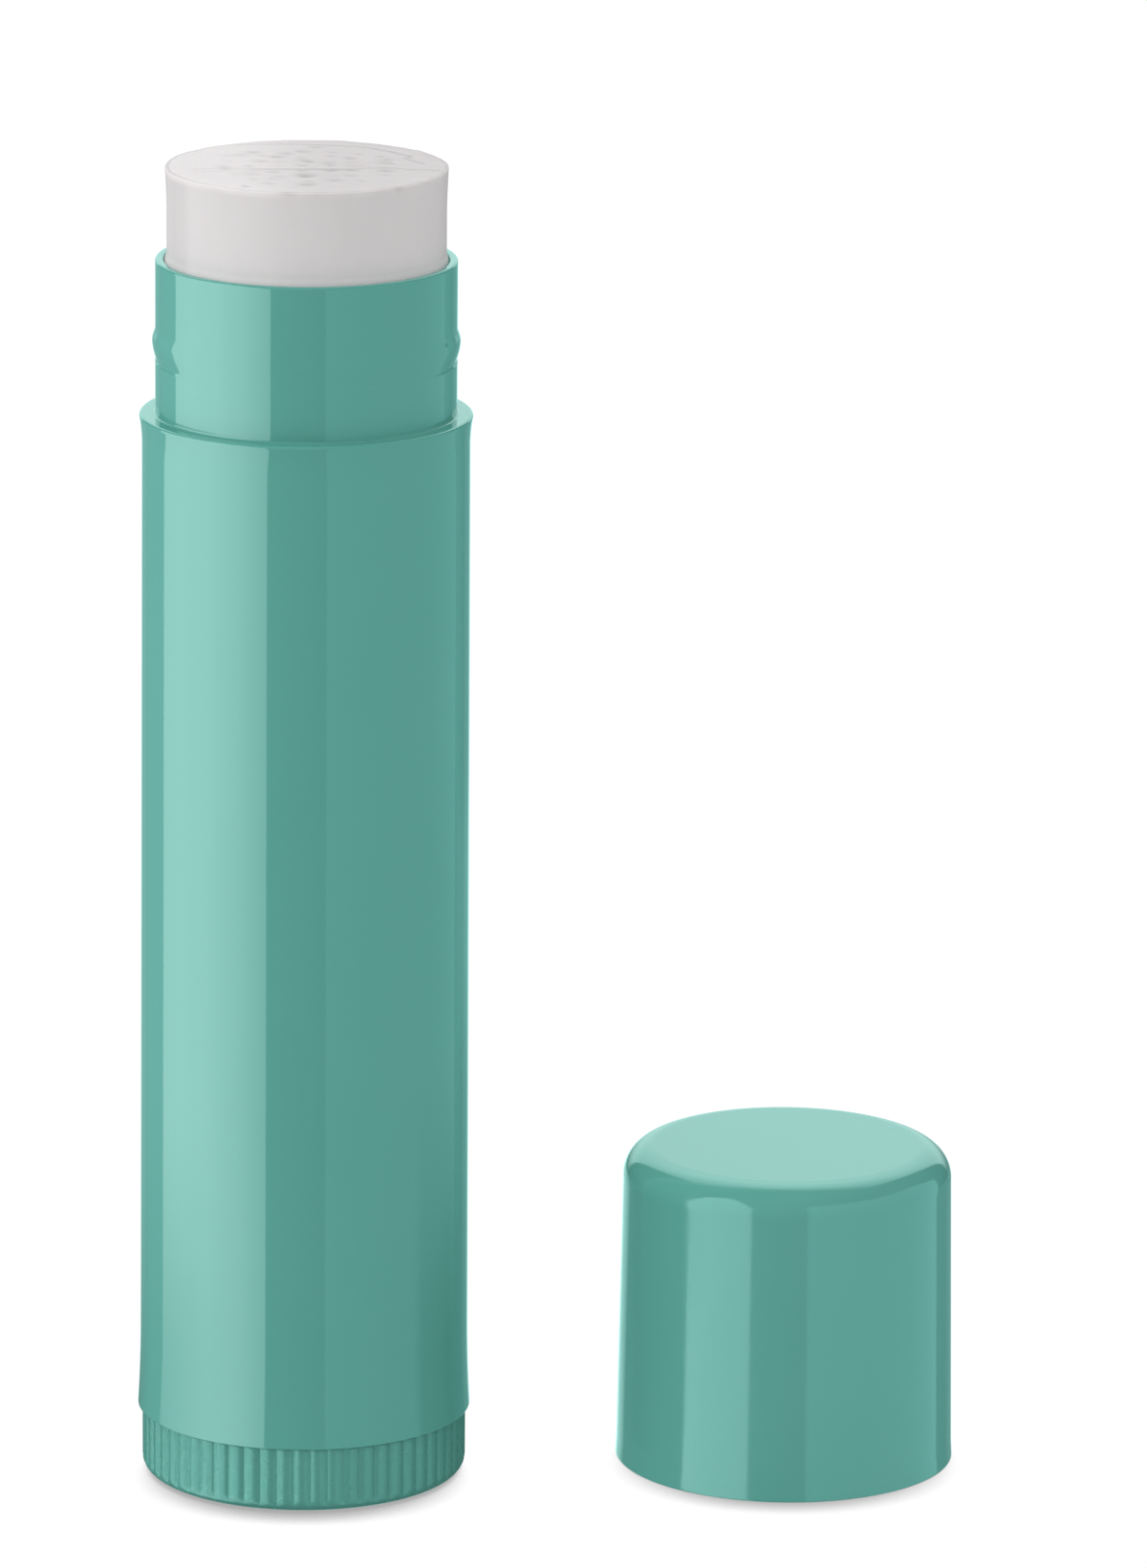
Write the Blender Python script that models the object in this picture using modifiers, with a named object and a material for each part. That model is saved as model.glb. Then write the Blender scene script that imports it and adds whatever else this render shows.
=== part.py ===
"""Twist-up lip balm stick, standing open with its cap beside it.

Six moulded pieces make it: a body tube, a ribbed thumbwheel snapped into its foot, a screw
standing in the wheel, an elevator that climbs the screw like a nut, the cast balm that sits on
the elevator, and a friction-fit cap. The stick's axis is world Z, and the thumbwheel's flat
bottom lies at z = 0. All sizes are in metres. Each piece is modelled from its own foot, z = 0,
and then placed.
"""

import math

import bmesh
import bpy

# Roundness of the turned pieces, as steps in a full turn
TUBE_STEPS = 48
INNER_STEPS = 40
THREAD_STEPS = 16
FILLET_STEPS = 4
FLARE_STEPS = 4

# Clearances between pieces, and how far a cut runs past what it cuts
WHEEL_GAP = 0.0003
SEAT_GAP = 0.0001
KEY_GAP = 0.0001
COLLAR_PLAY = 0.0003
SNAP_PLAY = 0.0002
THREAD_PLAY = 0.00015
GUIDE_PLAY = 0.00015
BALM_PLAY = 0.00015
BALM_EDGE_PLAY = 0.00006
PARKING_GAP = 0.0006
END_PLAY = 0.0004
CAP_PLAY = 0.0001
CAP_MOUTH_PLAY = 0.00008
CUT_OVERRUN = 0.001

# Points of a mesh nearer than this are one point
POINT_MERGE = 0.00001

# Twist-up motion: a left-hand thread, so that turning the wheel anticlockwise from above lifts
THREAD_LEAD = 0.0030
TURNS_TO_RETRACT = 1.8
TURNS_TO_EXTEND = 12.0

# Body tube: a sleeve that flares a little at both ends, and a neck that takes the cap.
# The bore is the driving size: every other round piece follows it by a wall or a clearance.
BORE_RADIUS = 0.0069
NECK_WALL = 0.000425
NECK_LENGTH = 0.00759
NECK_EDGE = 0.00012
NECK_BEAD_PROUD = 0.00015
NECK_BEAD_WIDTH = 0.0018
NECK_BEAD_PLACE = 0.00355
SHOULDER_LEDGE = 0.000645
SLEEVE_LENGTH = 0.05015
SLEEVE_DRAFT = 0.00012
SHOULDER_FLARE = 0.00015
SHOULDER_FLARE_LENGTH = 0.0016
FOOT_FLARE = 0.00013
FOOT_FLARE_LENGTH = 0.0045
TUBE_EDGE = 0.00012
GUIDE_RIBS = 4
GUIDE_RIB_HEIGHT = 0.00045
GUIDE_RIB_WIDTH = 0.0008
GUIDE_RIB_ROOT = 0.0002
GUIDE_RIB_ABOVE_SHOULDER = 0.0010

# Screw spindle
SPINDLE_RADIUS = 0.0015
THREAD_DEPTH = 0.0007
THREAD_SINK = 0.00005
SPINDLE_FLANGE = 0.0008
FLANGE_INSET = 0.0003
SPINDLE_KEY_RADIUS = 0.0019
SPINDLE_KEY_LENGTH = 0.0030
SPINDLE_KEY_SIDES = 6
SPINDLE_TIP_CHAMFER = 0.0005
THREAD_RUNOUT = 0.0005
SPINDLE_GRIP_AT_TOP = 0.0035

# Thumbwheel
WHEEL_INSET = 0.00009
WHEEL_FACE = 0.00303
WHEEL_FOOT_FILLET = 0.0007
WHEEL_FLOOR = 0.0012
WHEEL_RIBS = 60
WHEEL_GROOVE_DEPTH = 0.00016
WHEEL_GROOVE_WIDTH = 0.00056
WHEEL_GROOVE_FOOT = 0.00045
HUB_WALL = 0.0012
HUB_SOCKET_FLOOR = 0.0004
COLLAR_WALL = 0.0010
COLLAR_BEAD_PROUD = 0.0005
COLLAR_BEAD_WIDTH = 0.0010
COLLAR_BEAD_PLACE = 0.0035
COLLAR_ABOVE_BEAD = 0.0018
COLLAR_SLOTS = 4
COLLAR_SLOT_WIDTH = 0.0010
COLLAR_SLOT_FOOT = 0.0008

# Elevator
PLATFORM = 0.0010
SKIRT_LENGTH = 0.0080
SKIRT_WALL = 0.0008
NUT_WALL = 0.00075
GRIP_RING_INSET = 0.0020
GRIP_RING_WALL = 0.0007
GRIP_RING_HEIGHT = 0.0030

# Balm: cast in the tube, so its top edge keeps the bore's width while its side has shrunk
BALM_ABOVE_NECK = 0.00453
BALM_WAIST_SHRINK = 0.00007
BALM_WAIST_DEPTH = 0.0024
BALM_SHRINK_DEPTH = 0.0042
BALM_TOP_EDGE = 0.00008

# Cap
CAP_STAND_OFF = 0.007425
CAP_HEIGHT = 0.01593
CAP_PROUD = 0.00017
CAP_DRAFT = 0.00022
CAP_LIP = 0.00004
CAP_LIP_HEIGHT = 0.0008
CAP_TOP_FILLET = 0.00156
CAP_ROOF = 0.0013
CAP_INNER_FILLET = 0.0005

# Plain colours of the materials, linear, and their roughness
TEAL = (0.115, 0.375, 0.315)
NATURAL = (0.80, 0.80, 0.76)
BALM_WHITE = (0.66, 0.64, 0.64)
TEAL_ROUGHNESS = 0.25
NATURAL_ROUGHNESS = 0.40
BALM_ROUGHNESS = 0.45
SHARP_EDGE_DEGREES = 30

# Radii that follow from the sizes above
NECK_RADIUS = BORE_RADIUS + NECK_WALL
SLEEVE_TOP_RADIUS = NECK_RADIUS + SHOULDER_LEDGE
SLEEVE_FOOT_RADIUS = SLEEVE_TOP_RADIUS + SLEEVE_DRAFT
TUBE_RIM_RADIUS = SLEEVE_TOP_RADIUS + SHOULDER_FLARE
TUBE_FOOT_RADIUS = SLEEVE_FOOT_RADIUS + FOOT_FLARE
GUIDE_RIB_TIP_RADIUS = BORE_RADIUS - GUIDE_RIB_HEIGHT
WHEEL_RADIUS = SLEEVE_FOOT_RADIUS - WHEEL_INSET
COLLAR_RADIUS = BORE_RADIUS - COLLAR_PLAY
HUB_RADIUS = SPINDLE_KEY_RADIUS + KEY_GAP + HUB_WALL
SPINDLE_FLANGE_RADIUS = HUB_RADIUS - FLANGE_INSET
THREAD_CREST = SPINDLE_RADIUS + THREAD_DEPTH
NUT_RADIUS = THREAD_CREST + THREAD_PLAY + NUT_WALL
GRIP_RING_RADIUS = BORE_RADIUS - GRIP_RING_INSET
BALM_RADIUS = BORE_RADIUS - BALM_PLAY
BALM_WAIST_RADIUS = BALM_RADIUS - BALM_WAIST_SHRINK
BALM_TOP_RADIUS = BORE_RADIUS - BALM_EDGE_PLAY
CAP_TOP_RADIUS = SLEEVE_TOP_RADIUS + CAP_PROUD
CAP_FOOT_RADIUS = CAP_TOP_RADIUS + CAP_DRAFT
CAP_DISTANCE = TUBE_FOOT_RADIUS + CAP_STAND_OFF + CAP_FOOT_RADIUS + CAP_LIP

# Heights that follow from the sizes above
COLLAR_TOP = WHEEL_FACE + COLLAR_BEAD_PLACE + COLLAR_BEAD_WIDTH / 2 + COLLAR_ABOVE_BEAD
SLEEVE_FOOT = WHEEL_FACE + WHEEL_GAP
SHOULDER = SLEEVE_FOOT + SLEEVE_LENGTH
NECK_TOP = SHOULDER + NECK_LENGTH
RETRACT_TRAVEL = TURNS_TO_RETRACT * THREAD_LEAD
EXTEND_TRAVEL = TURNS_TO_EXTEND * THREAD_LEAD
ELEVATOR_FOOT = COLLAR_TOP + PARKING_GAP + RETRACT_TRAVEL
PLATFORM_TOP = ELEVATOR_FOOT + SKIRT_LENGTH + PLATFORM
BALM_FOOT = PLATFORM_TOP + SEAT_GAP
BALM_TOP = NECK_TOP + BALM_ABOVE_NECK
SPINDLE_FOOT = WHEEL_FLOOR + HUB_SOCKET_FLOOR + SEAT_GAP
FLANGE_FOOT = SPINDLE_FOOT + SPINDLE_KEY_LENGTH
HUB_TOP = FLANGE_FOOT - SEAT_GAP
SPINDLE_TIP = ELEVATOR_FOOT + EXTEND_TRAVEL + SPINDLE_GRIP_AT_TOP
GUIDE_RIB_FOOT = COLLAR_TOP + END_PLAY
GUIDE_RIB_TOP = SHOULDER + GUIDE_RIB_ABOVE_SHOULDER


def clear_scene():
    for obj in list(bpy.data.objects):
        bpy.data.objects.remove(obj, do_unlink=True)


def new_collection(name):
    collection = bpy.data.collections.new(name)
    bpy.context.scene.collection.children.link(collection)
    return collection


def plain_material(name, colour, roughness):
    material = bpy.data.materials.new(name)
    material.use_nodes = True
    shader = material.node_tree.nodes["Principled BSDF"]
    shader.inputs["Base Color"].default_value = (*colour, 1.0)
    shader.inputs["Roughness"].default_value = roughness
    shader.inputs["Metallic"].default_value = 0.0
    return material


def object_from(name, mesh, collection, material=None):
    obj = bpy.data.objects.new(name, mesh)
    collection.objects.link(obj)
    if material is not None:
        mesh.materials.append(material)
    return obj


def turned(name, profile, steps, closed, collection, material=None):
    """Sweeps a profile of (radius, height) pairs round Z; a closed profile makes a ring."""
    mesh = bpy.data.meshes.new(name)
    count = len(profile)
    edges = [(i, i + 1) for i in range(count - 1)]
    if closed:
        edges.append((count - 1, 0))
    mesh.from_pydata([(radius, 0.0, height) for radius, height in profile], edges, [])
    obj = object_from(name, mesh, collection, material)
    screw = obj.modifiers.new("Turn", "SCREW")
    screw.steps = steps
    screw.render_steps = steps
    screw.use_merge_vertices = True
    screw.merge_threshold = POINT_MERGE
    return obj


def arc(centre, radius, start, end, steps):
    """Points of a circular arc in the profile plane, from one angle to another, in degrees."""
    points = []
    for i in range(steps + 1):
        angle = math.radians(start + (end - start) * i / steps)
        points.append((centre[0] + radius * math.cos(angle), centre[1] + radius * math.sin(angle)))
    return points


def bump(radius, proud, middle, width, steps):
    """Points down a rounded bead that stands proud of a cylinder, as one raised cosine wave."""
    points = []
    for i in range(steps + 1):
        share = i / steps
        rise = proud * (1 - math.cos(2 * math.pi * share)) / 2
        points.append((radius + rise, middle + width * (0.5 - share)))
    return points


def box_mesh(name, low, high, turns):
    """One box between two corners, copied round Z at each angle of turns."""
    mesh = bpy.data.meshes.new(name)
    shape = bmesh.new()
    for turn in turns:
        made = bmesh.ops.create_cube(shape, size=1.0)["verts"]
        for vert in made:
            place = [low[i] + (vert.co[i] + 0.5) * (high[i] - low[i]) for i in range(3)]
            vert.co.x = place[0] * math.cos(turn) - place[1] * math.sin(turn)
            vert.co.y = place[0] * math.sin(turn) + place[1] * math.cos(turn)
            vert.co.z = place[2]
    shape.to_mesh(mesh)
    shape.free()
    return mesh


def prism_mesh(name, sides, radius, foot, top):
    mesh = bpy.data.meshes.new(name)
    shape = bmesh.new()
    made = bmesh.ops.create_cone(
        shape, cap_ends=True, segments=sides, radius1=radius, radius2=radius, depth=top - foot
    )
    bmesh.ops.translate(shape, verts=made["verts"], vec=(0.0, 0.0, (foot + top) / 2))
    shape.to_mesh(mesh)
    shape.free()
    return mesh


def even_turns(count, offset_share):
    """Angles of evenly spaced copies round Z, turned by a share of one spacing."""
    return [2 * math.pi * (i + offset_share) / count for i in range(count)]


def as_tool(obj, target):
    """Makes an object a hidden tool that moves with the piece it shapes."""
    obj.hide_render = True
    obj.display_type = "WIRE"
    obj.parent = target


def shape_with(target, tool, operation):
    as_tool(tool, target)
    boolean = target.modifiers.new(tool.name, "BOOLEAN")
    boolean.operation = operation
    boolean.solver = "EXACT"
    boolean.object = tool


def helix_ridge(name, world_foot, foot, top, depth, collection):
    """A diamond-section ridge wound left-handed on the spindle's core, as a mesh.

    Its phase follows world height, so that ridge and nut groove are in mesh as they stand.
    """
    turns = (top - foot) / THREAD_LEAD
    count = max(2, round(turns * THREAD_STEPS))
    curve = bpy.data.curves.new(name, "CURVE")
    curve.dimensions = "3D"
    curve.twist_mode = "Z_UP"
    curve.bevel_depth = depth
    curve.bevel_resolution = 0
    curve.use_fill_caps = True
    spline = curve.splines.new("POLY")
    spline.points.add(count)
    middle = SPINDLE_RADIUS - THREAD_SINK
    for i, point in enumerate(spline.points):
        height = foot + (top - foot) * i / count
        angle = -2 * math.pi * (world_foot + height) / THREAD_LEAD
        point.co = (middle * math.cos(angle), middle * math.sin(angle), height, 1.0)
    guide = object_from(name + "_path", curve, collection)
    graph = bpy.context.evaluated_depsgraph_get()
    mesh = bpy.data.meshes.new_from_object(guide.evaluated_get(graph))
    bpy.data.objects.remove(guide)
    shape = bmesh.new()
    shape.from_mesh(mesh)
    bmesh.ops.remove_doubles(shape, verts=shape.verts, dist=POINT_MERGE)
    bmesh.ops.recalc_face_normals(shape, faces=shape.faces)
    shape.to_mesh(mesh)
    shape.free()
    return object_from(name, mesh, collection)


def sleeve_outline():
    """The sleeve's outer side, top to bottom: slight draft, and a flare that fades from each end."""
    points = []
    flare_top = [i / FLARE_STEPS for i in range(FLARE_STEPS + 1)]
    for share in flare_top:
        height = SLEEVE_LENGTH - TUBE_EDGE - SHOULDER_FLARE_LENGTH * share
        points.append((SLEEVE_TOP_RADIUS + SHOULDER_FLARE * (1 - share) ** 2, height))
    for share in reversed(flare_top):
        height = TUBE_EDGE + FOOT_FLARE_LENGTH * share
        points.append((SLEEVE_FOOT_RADIUS + FOOT_FLARE * (1 - share) ** 2, height))
    return points


def barrel_profile():
    """Closed outline of the tube's wall, measured from the sleeve's foot."""
    neck_top = SLEEVE_LENGTH + NECK_LENGTH
    bead_height = SLEEVE_LENGTH + NECK_BEAD_PLACE
    groove_middle = COLLAR_BEAD_PLACE - WHEEL_GAP
    groove_half = COLLAR_BEAD_WIDTH / 2 + SNAP_PLAY
    groove_radius = COLLAR_RADIUS + COLLAR_BEAD_PROUD + SNAP_PLAY
    points = [
        (BORE_RADIUS, neck_top - NECK_EDGE),
        (BORE_RADIUS + NECK_EDGE, neck_top),
        (NECK_RADIUS - NECK_EDGE, neck_top),
        (NECK_RADIUS, neck_top - NECK_EDGE),
    ]
    points += bump(NECK_RADIUS, NECK_BEAD_PROUD, bead_height, NECK_BEAD_WIDTH, 2 * FLARE_STEPS)
    points += [(NECK_RADIUS, SLEEVE_LENGTH), (TUBE_RIM_RADIUS - TUBE_EDGE, SLEEVE_LENGTH)]
    points += sleeve_outline()
    points += [
        (TUBE_FOOT_RADIUS - TUBE_EDGE, 0.0),
        (BORE_RADIUS, 0.0),
        (BORE_RADIUS, groove_middle - groove_half),
        (groove_radius, groove_middle - groove_half),
        (groove_radius, groove_middle + groove_half),
        (BORE_RADIUS, groove_middle + groove_half),
    ]
    return points


def make_barrel(parts, tools, material):
    barrel = turned("barrel", barrel_profile(), TUBE_STEPS, True, parts, material)
    low = (GUIDE_RIB_TIP_RADIUS, -GUIDE_RIB_WIDTH / 2, GUIDE_RIB_FOOT - SLEEVE_FOOT)
    high = (BORE_RADIUS + GUIDE_RIB_ROOT, GUIDE_RIB_WIDTH / 2, GUIDE_RIB_TOP - SLEEVE_FOOT)
    ribs = box_mesh("guide_ribs", low, high, even_turns(GUIDE_RIBS, 0.5))
    shape_with(barrel, object_from("guide_ribs", ribs, tools), "UNION")
    barrel.location.z = SLEEVE_FOOT
    return barrel


def thumbwheel_profile():
    """Outline of the wheel from the top of its hub, over the collar and down to its flat foot."""
    inner = COLLAR_RADIUS - COLLAR_WALL
    bead_top = WHEEL_FACE + COLLAR_BEAD_PLACE + COLLAR_BEAD_WIDTH / 2
    bead_foot = bead_top - COLLAR_BEAD_WIDTH
    bead_radius = COLLAR_RADIUS + COLLAR_BEAD_PROUD
    fillet_centre = (WHEEL_RADIUS - WHEEL_FOOT_FILLET, WHEEL_FOOT_FILLET)
    points = [
        (0.0, HUB_TOP),
        (HUB_RADIUS, HUB_TOP),
        (HUB_RADIUS, WHEEL_FLOOR),
        (inner, WHEEL_FLOOR),
        (inner, COLLAR_TOP),
        (COLLAR_RADIUS, COLLAR_TOP),
        (COLLAR_RADIUS, bead_top + COLLAR_BEAD_PROUD),
        (bead_radius, bead_top),
        (bead_radius, bead_foot),
        (COLLAR_RADIUS, bead_foot),
        (COLLAR_RADIUS, WHEEL_FACE),
        (WHEEL_RADIUS, WHEEL_FACE),
    ]
    points += arc(fillet_centre, WHEEL_FOOT_FILLET, 0, -90, FILLET_STEPS)
    points.append((0.0, 0.0))
    return points


def groove_mesh():
    """Upright four-sided bars round the wheel, whose inner edges cut the finger grooves."""
    mesh = bpy.data.meshes.new("wheel_grooves")
    shape = bmesh.new()
    foot = WHEEL_GROOVE_FOOT
    top = WHEEL_FACE + CUT_OVERRUN
    section = [
        (WHEEL_RADIUS - WHEEL_GROOVE_DEPTH, 0.0),
        (WHEEL_RADIUS, -WHEEL_GROOVE_WIDTH / 2),
        (WHEEL_RADIUS + CUT_OVERRUN, 0.0),
        (WHEEL_RADIUS, WHEEL_GROOVE_WIDTH / 2),
    ]
    for turn in even_turns(WHEEL_RIBS, 0.5):
        made = bmesh.ops.create_cone(
            shape, cap_ends=True, segments=4, radius1=1.0, radius2=1.0, depth=2.0
        )["verts"]
        for vert in made:
            corner = round(math.atan2(vert.co.y, vert.co.x) / (math.pi / 2) + 2) % 4
            out, along = section[corner]
            height = top if vert.co.z > 0 else foot
            vert.co.x = out * math.cos(turn) - along * math.sin(turn)
            vert.co.y = out * math.sin(turn) + along * math.cos(turn)
            vert.co.z = height
    bmesh.ops.recalc_face_normals(shape, faces=shape.faces)
    shape.to_mesh(mesh)
    shape.free()
    return mesh


def make_thumbwheel(parts, tools, material):
    wheel = turned("thumbwheel", thumbwheel_profile(), WHEEL_RIBS, False, parts, material)
    shape_with(wheel, object_from("wheel_grooves", groove_mesh(), tools), "DIFFERENCE")

    low = (HUB_RADIUS + SEAT_GAP, -COLLAR_SLOT_WIDTH / 2, WHEEL_FACE + COLLAR_SLOT_FOOT)
    high = (COLLAR_RADIUS + CUT_OVERRUN, COLLAR_SLOT_WIDTH / 2, COLLAR_TOP + CUT_OVERRUN)
    slots = box_mesh("collar_slots", low, high, even_turns(COLLAR_SLOTS, 0.0))
    shape_with(wheel, object_from("collar_slots", slots, tools), "DIFFERENCE")

    socket = prism_mesh(
        "key_socket",
        SPINDLE_KEY_SIDES,
        SPINDLE_KEY_RADIUS + KEY_GAP,
        SPINDLE_FOOT - SEAT_GAP,
        HUB_TOP + CUT_OVERRUN,
    )
    shape_with(wheel, object_from("key_socket", socket, tools), "DIFFERENCE")
    return wheel


def make_spindle(parts, tools, material):
    flange_foot = FLANGE_FOOT - SPINDLE_FOOT
    flange_top = flange_foot + SPINDLE_FLANGE
    tip = SPINDLE_TIP - SPINDLE_FOOT
    profile = [
        (0.0, tip),
        (SPINDLE_RADIUS - SPINDLE_TIP_CHAMFER, tip),
        (SPINDLE_RADIUS, tip - SPINDLE_TIP_CHAMFER),
        (SPINDLE_RADIUS, flange_top),
        (SPINDLE_FLANGE_RADIUS, flange_top),
        (SPINDLE_FLANGE_RADIUS, flange_foot),
        (0.0, flange_foot),
    ]
    spindle = turned("screw_spindle", profile, THREAD_STEPS, False, parts, material)
    key = prism_mesh(
        "spindle_key",
        SPINDLE_KEY_SIDES,
        SPINDLE_KEY_RADIUS,
        0.0,
        flange_foot + SPINDLE_FLANGE / 2,
    )
    shape_with(spindle, object_from("spindle_key", key, tools), "UNION")
    ridge = helix_ridge(
        "thread_ridge",
        SPINDLE_FOOT,
        flange_top + THREAD_LEAD / 2,
        tip - SPINDLE_TIP_CHAMFER - THREAD_DEPTH - THREAD_RUNOUT,
        THREAD_DEPTH + THREAD_SINK,
        tools,
    )
    shape_with(spindle, ridge, "UNION")
    spindle.location.z = SPINDLE_FOOT
    return spindle


def make_elevator(parts, tools, material):
    radius = BORE_RADIUS - GUIDE_PLAY
    nut_bore = SPINDLE_RADIUS + THREAD_PLAY
    top = SKIRT_LENGTH + PLATFORM
    ring_inner = GRIP_RING_RADIUS - GRIP_RING_WALL
    ring_top = top + GRIP_RING_HEIGHT
    profile = [
        (radius, top),
        (radius, 0.0),
        (radius - SKIRT_WALL, 0.0),
        (radius - SKIRT_WALL, SKIRT_LENGTH),
        (NUT_RADIUS, SKIRT_LENGTH),
        (NUT_RADIUS, 0.0),
        (nut_bore, 0.0),
        (nut_bore, top),
        (ring_inner, top),
        (ring_inner, ring_top),
        (GRIP_RING_RADIUS, ring_top),
        (GRIP_RING_RADIUS, top),
    ]
    elevator = turned("elevator", profile, INNER_STEPS, True, parts, material)

    half_width = GUIDE_RIB_WIDTH / 2 + GUIDE_PLAY
    low = (GUIDE_RIB_TIP_RADIUS - GUIDE_PLAY, -half_width, -CUT_OVERRUN)
    high = (BORE_RADIUS + CUT_OVERRUN, half_width, top + CUT_OVERRUN)
    notches = box_mesh("guide_notches", low, high, even_turns(GUIDE_RIBS, 0.5))
    shape_with(elevator, object_from("guide_notches", notches, tools), "DIFFERENCE")

    groove = helix_ridge(
        "nut_groove",
        ELEVATOR_FOOT,
        -CUT_OVERRUN - THREAD_DEPTH,
        top + CUT_OVERRUN + THREAD_DEPTH,
        THREAD_DEPTH + THREAD_SINK + THREAD_PLAY,
        tools,
    )
    shape_with(elevator, groove, "DIFFERENCE")
    elevator.location.z = ELEVATOR_FOOT
    return elevator


def make_balm(parts, tools, material):
    top = BALM_TOP - BALM_FOOT
    ring_outer = GRIP_RING_RADIUS + SEAT_GAP
    ring_inner = GRIP_RING_RADIUS - GRIP_RING_WALL - SEAT_GAP
    ring_top = GRIP_RING_HEIGHT + SEAT_GAP
    bore = THREAD_CREST + THREAD_PLAY
    bore_top = SPINDLE_TIP + RETRACT_TRAVEL + END_PLAY - BALM_FOOT
    profile = [
        (0.0, top),
        (BALM_TOP_RADIUS - BALM_TOP_EDGE, top),
        (BALM_TOP_RADIUS, top - BALM_TOP_EDGE),
    ]
    for i in range(1, 2 * FLARE_STEPS):
        share = i / FLARE_STEPS
        if share <= 1:
            radius = BALM_WAIST_RADIUS + (BALM_TOP_RADIUS - BALM_WAIST_RADIUS) * (1 - share) ** 2
            height = top - BALM_TOP_EDGE - (BALM_WAIST_DEPTH - BALM_TOP_EDGE) * share
        else:
            swell_share = (1 - math.cos(math.pi * (share - 1))) / 2
            radius = BALM_WAIST_RADIUS + (BALM_RADIUS - BALM_WAIST_RADIUS) * swell_share
            height = top - BALM_WAIST_DEPTH - (BALM_SHRINK_DEPTH - BALM_WAIST_DEPTH) * (share - 1)
        profile.append((radius, height))
    profile += [
        (BALM_RADIUS, top - BALM_SHRINK_DEPTH),
        (BALM_RADIUS, 0.0),
        (ring_outer, 0.0),
        (ring_outer, ring_top),
        (ring_inner, ring_top),
        (ring_inner, 0.0),
        (bore, 0.0),
        (bore, bore_top),
        (0.0, bore_top),
    ]
    balm = turned("balm", profile, INNER_STEPS, False, parts, material)

    half_width = GUIDE_RIB_WIDTH / 2 + GUIDE_PLAY
    groove_top = GUIDE_RIB_TOP + RETRACT_TRAVEL + END_PLAY - BALM_FOOT
    low = (GUIDE_RIB_TIP_RADIUS - GUIDE_PLAY, -half_width, -CUT_OVERRUN)
    high = (BORE_RADIUS + CUT_OVERRUN, half_width, groove_top)
    grooves = box_mesh("balm_grooves", low, high, even_turns(GUIDE_RIBS, 0.5))
    shape_with(balm, object_from("balm_grooves", grooves, tools), "DIFFERENCE")
    balm.location.z = BALM_FOOT
    return balm


def make_cap(parts, material):
    """A drafted cup standing on its mouth; its inner groove matches the neck's bead."""
    mouth = NECK_RADIUS + NECK_BEAD_PROUD + CAP_MOUTH_PLAY
    grip = NECK_RADIUS + CAP_PLAY
    ceiling = CAP_HEIGHT - CAP_ROOF
    groove_top = NECK_BEAD_PLACE + NECK_BEAD_WIDTH / 2 + SNAP_PLAY
    groove_foot = NECK_BEAD_PLACE - NECK_BEAD_WIDTH / 2 - SNAP_PLAY
    groove_radius = mouth + SNAP_PLAY
    fillet_centre = (CAP_TOP_RADIUS - CAP_TOP_FILLET, CAP_HEIGHT - CAP_TOP_FILLET)
    inner_centre = (grip - CAP_INNER_FILLET, ceiling - CAP_INNER_FILLET)
    profile = [(0.0, CAP_HEIGHT)]
    profile += arc(fillet_centre, CAP_TOP_FILLET, 90, 0, 2 * FILLET_STEPS)
    profile += [
        (CAP_FOOT_RADIUS, CAP_LIP_HEIGHT),
        (CAP_FOOT_RADIUS + CAP_LIP, 0.0),
        (mouth, 0.0),
        (mouth, groove_foot),
        (groove_radius, NECK_BEAD_PLACE),
        (mouth, groove_top),
    ]
    profile += arc(inner_centre, CAP_INNER_FILLET, 0, 90, FILLET_STEPS)
    profile.append((0.0, ceiling))
    cap = turned("cap", profile, TUBE_STEPS, False, parts, material)
    cap.location.x = CAP_DISTANCE
    return cap


def shade_smooth(pieces):
    for obj in pieces:
        obj.modifiers["Turn"].use_smooth_shade = True
        obj.data.shade_smooth()
        obj.data.set_sharp_from_angle(angle=math.radians(SHARP_EDGE_DEGREES))


def main():
    clear_scene()
    parts = new_collection("lip_balm_stick")
    tools = new_collection("shaping_tools")
    tools.hide_render = True
    teal = plain_material("teal_polypropylene", TEAL, TEAL_ROUGHNESS)
    natural = plain_material("natural_polypropylene", NATURAL, NATURAL_ROUGHNESS)
    wax = plain_material("balm_wax", BALM_WHITE, BALM_ROUGHNESS)

    pieces = [
        make_barrel(parts, tools, teal),
        make_thumbwheel(parts, tools, teal),
        make_spindle(parts, tools, natural),
        make_elevator(parts, tools, natural),
        make_balm(parts, tools, wax),
        make_cap(parts, teal),
    ]
    shade_smooth(pieces)


main()
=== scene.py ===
# %% [markdown]
# A twist-up lip balm stick, standing open with its cap beside it
#
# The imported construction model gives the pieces, their places and their heights. This lesson puts
# the finish on them: the glossy moulded tube and cap, the satin thumbwheel with its finger ribs,
# and the cast balm with the marks that casting and handling left. The model is loaded first and
# stays a fixed frame.

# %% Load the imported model
import math

import bpy
import numpy as np
from mathutils import Matrix, Vector


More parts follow.
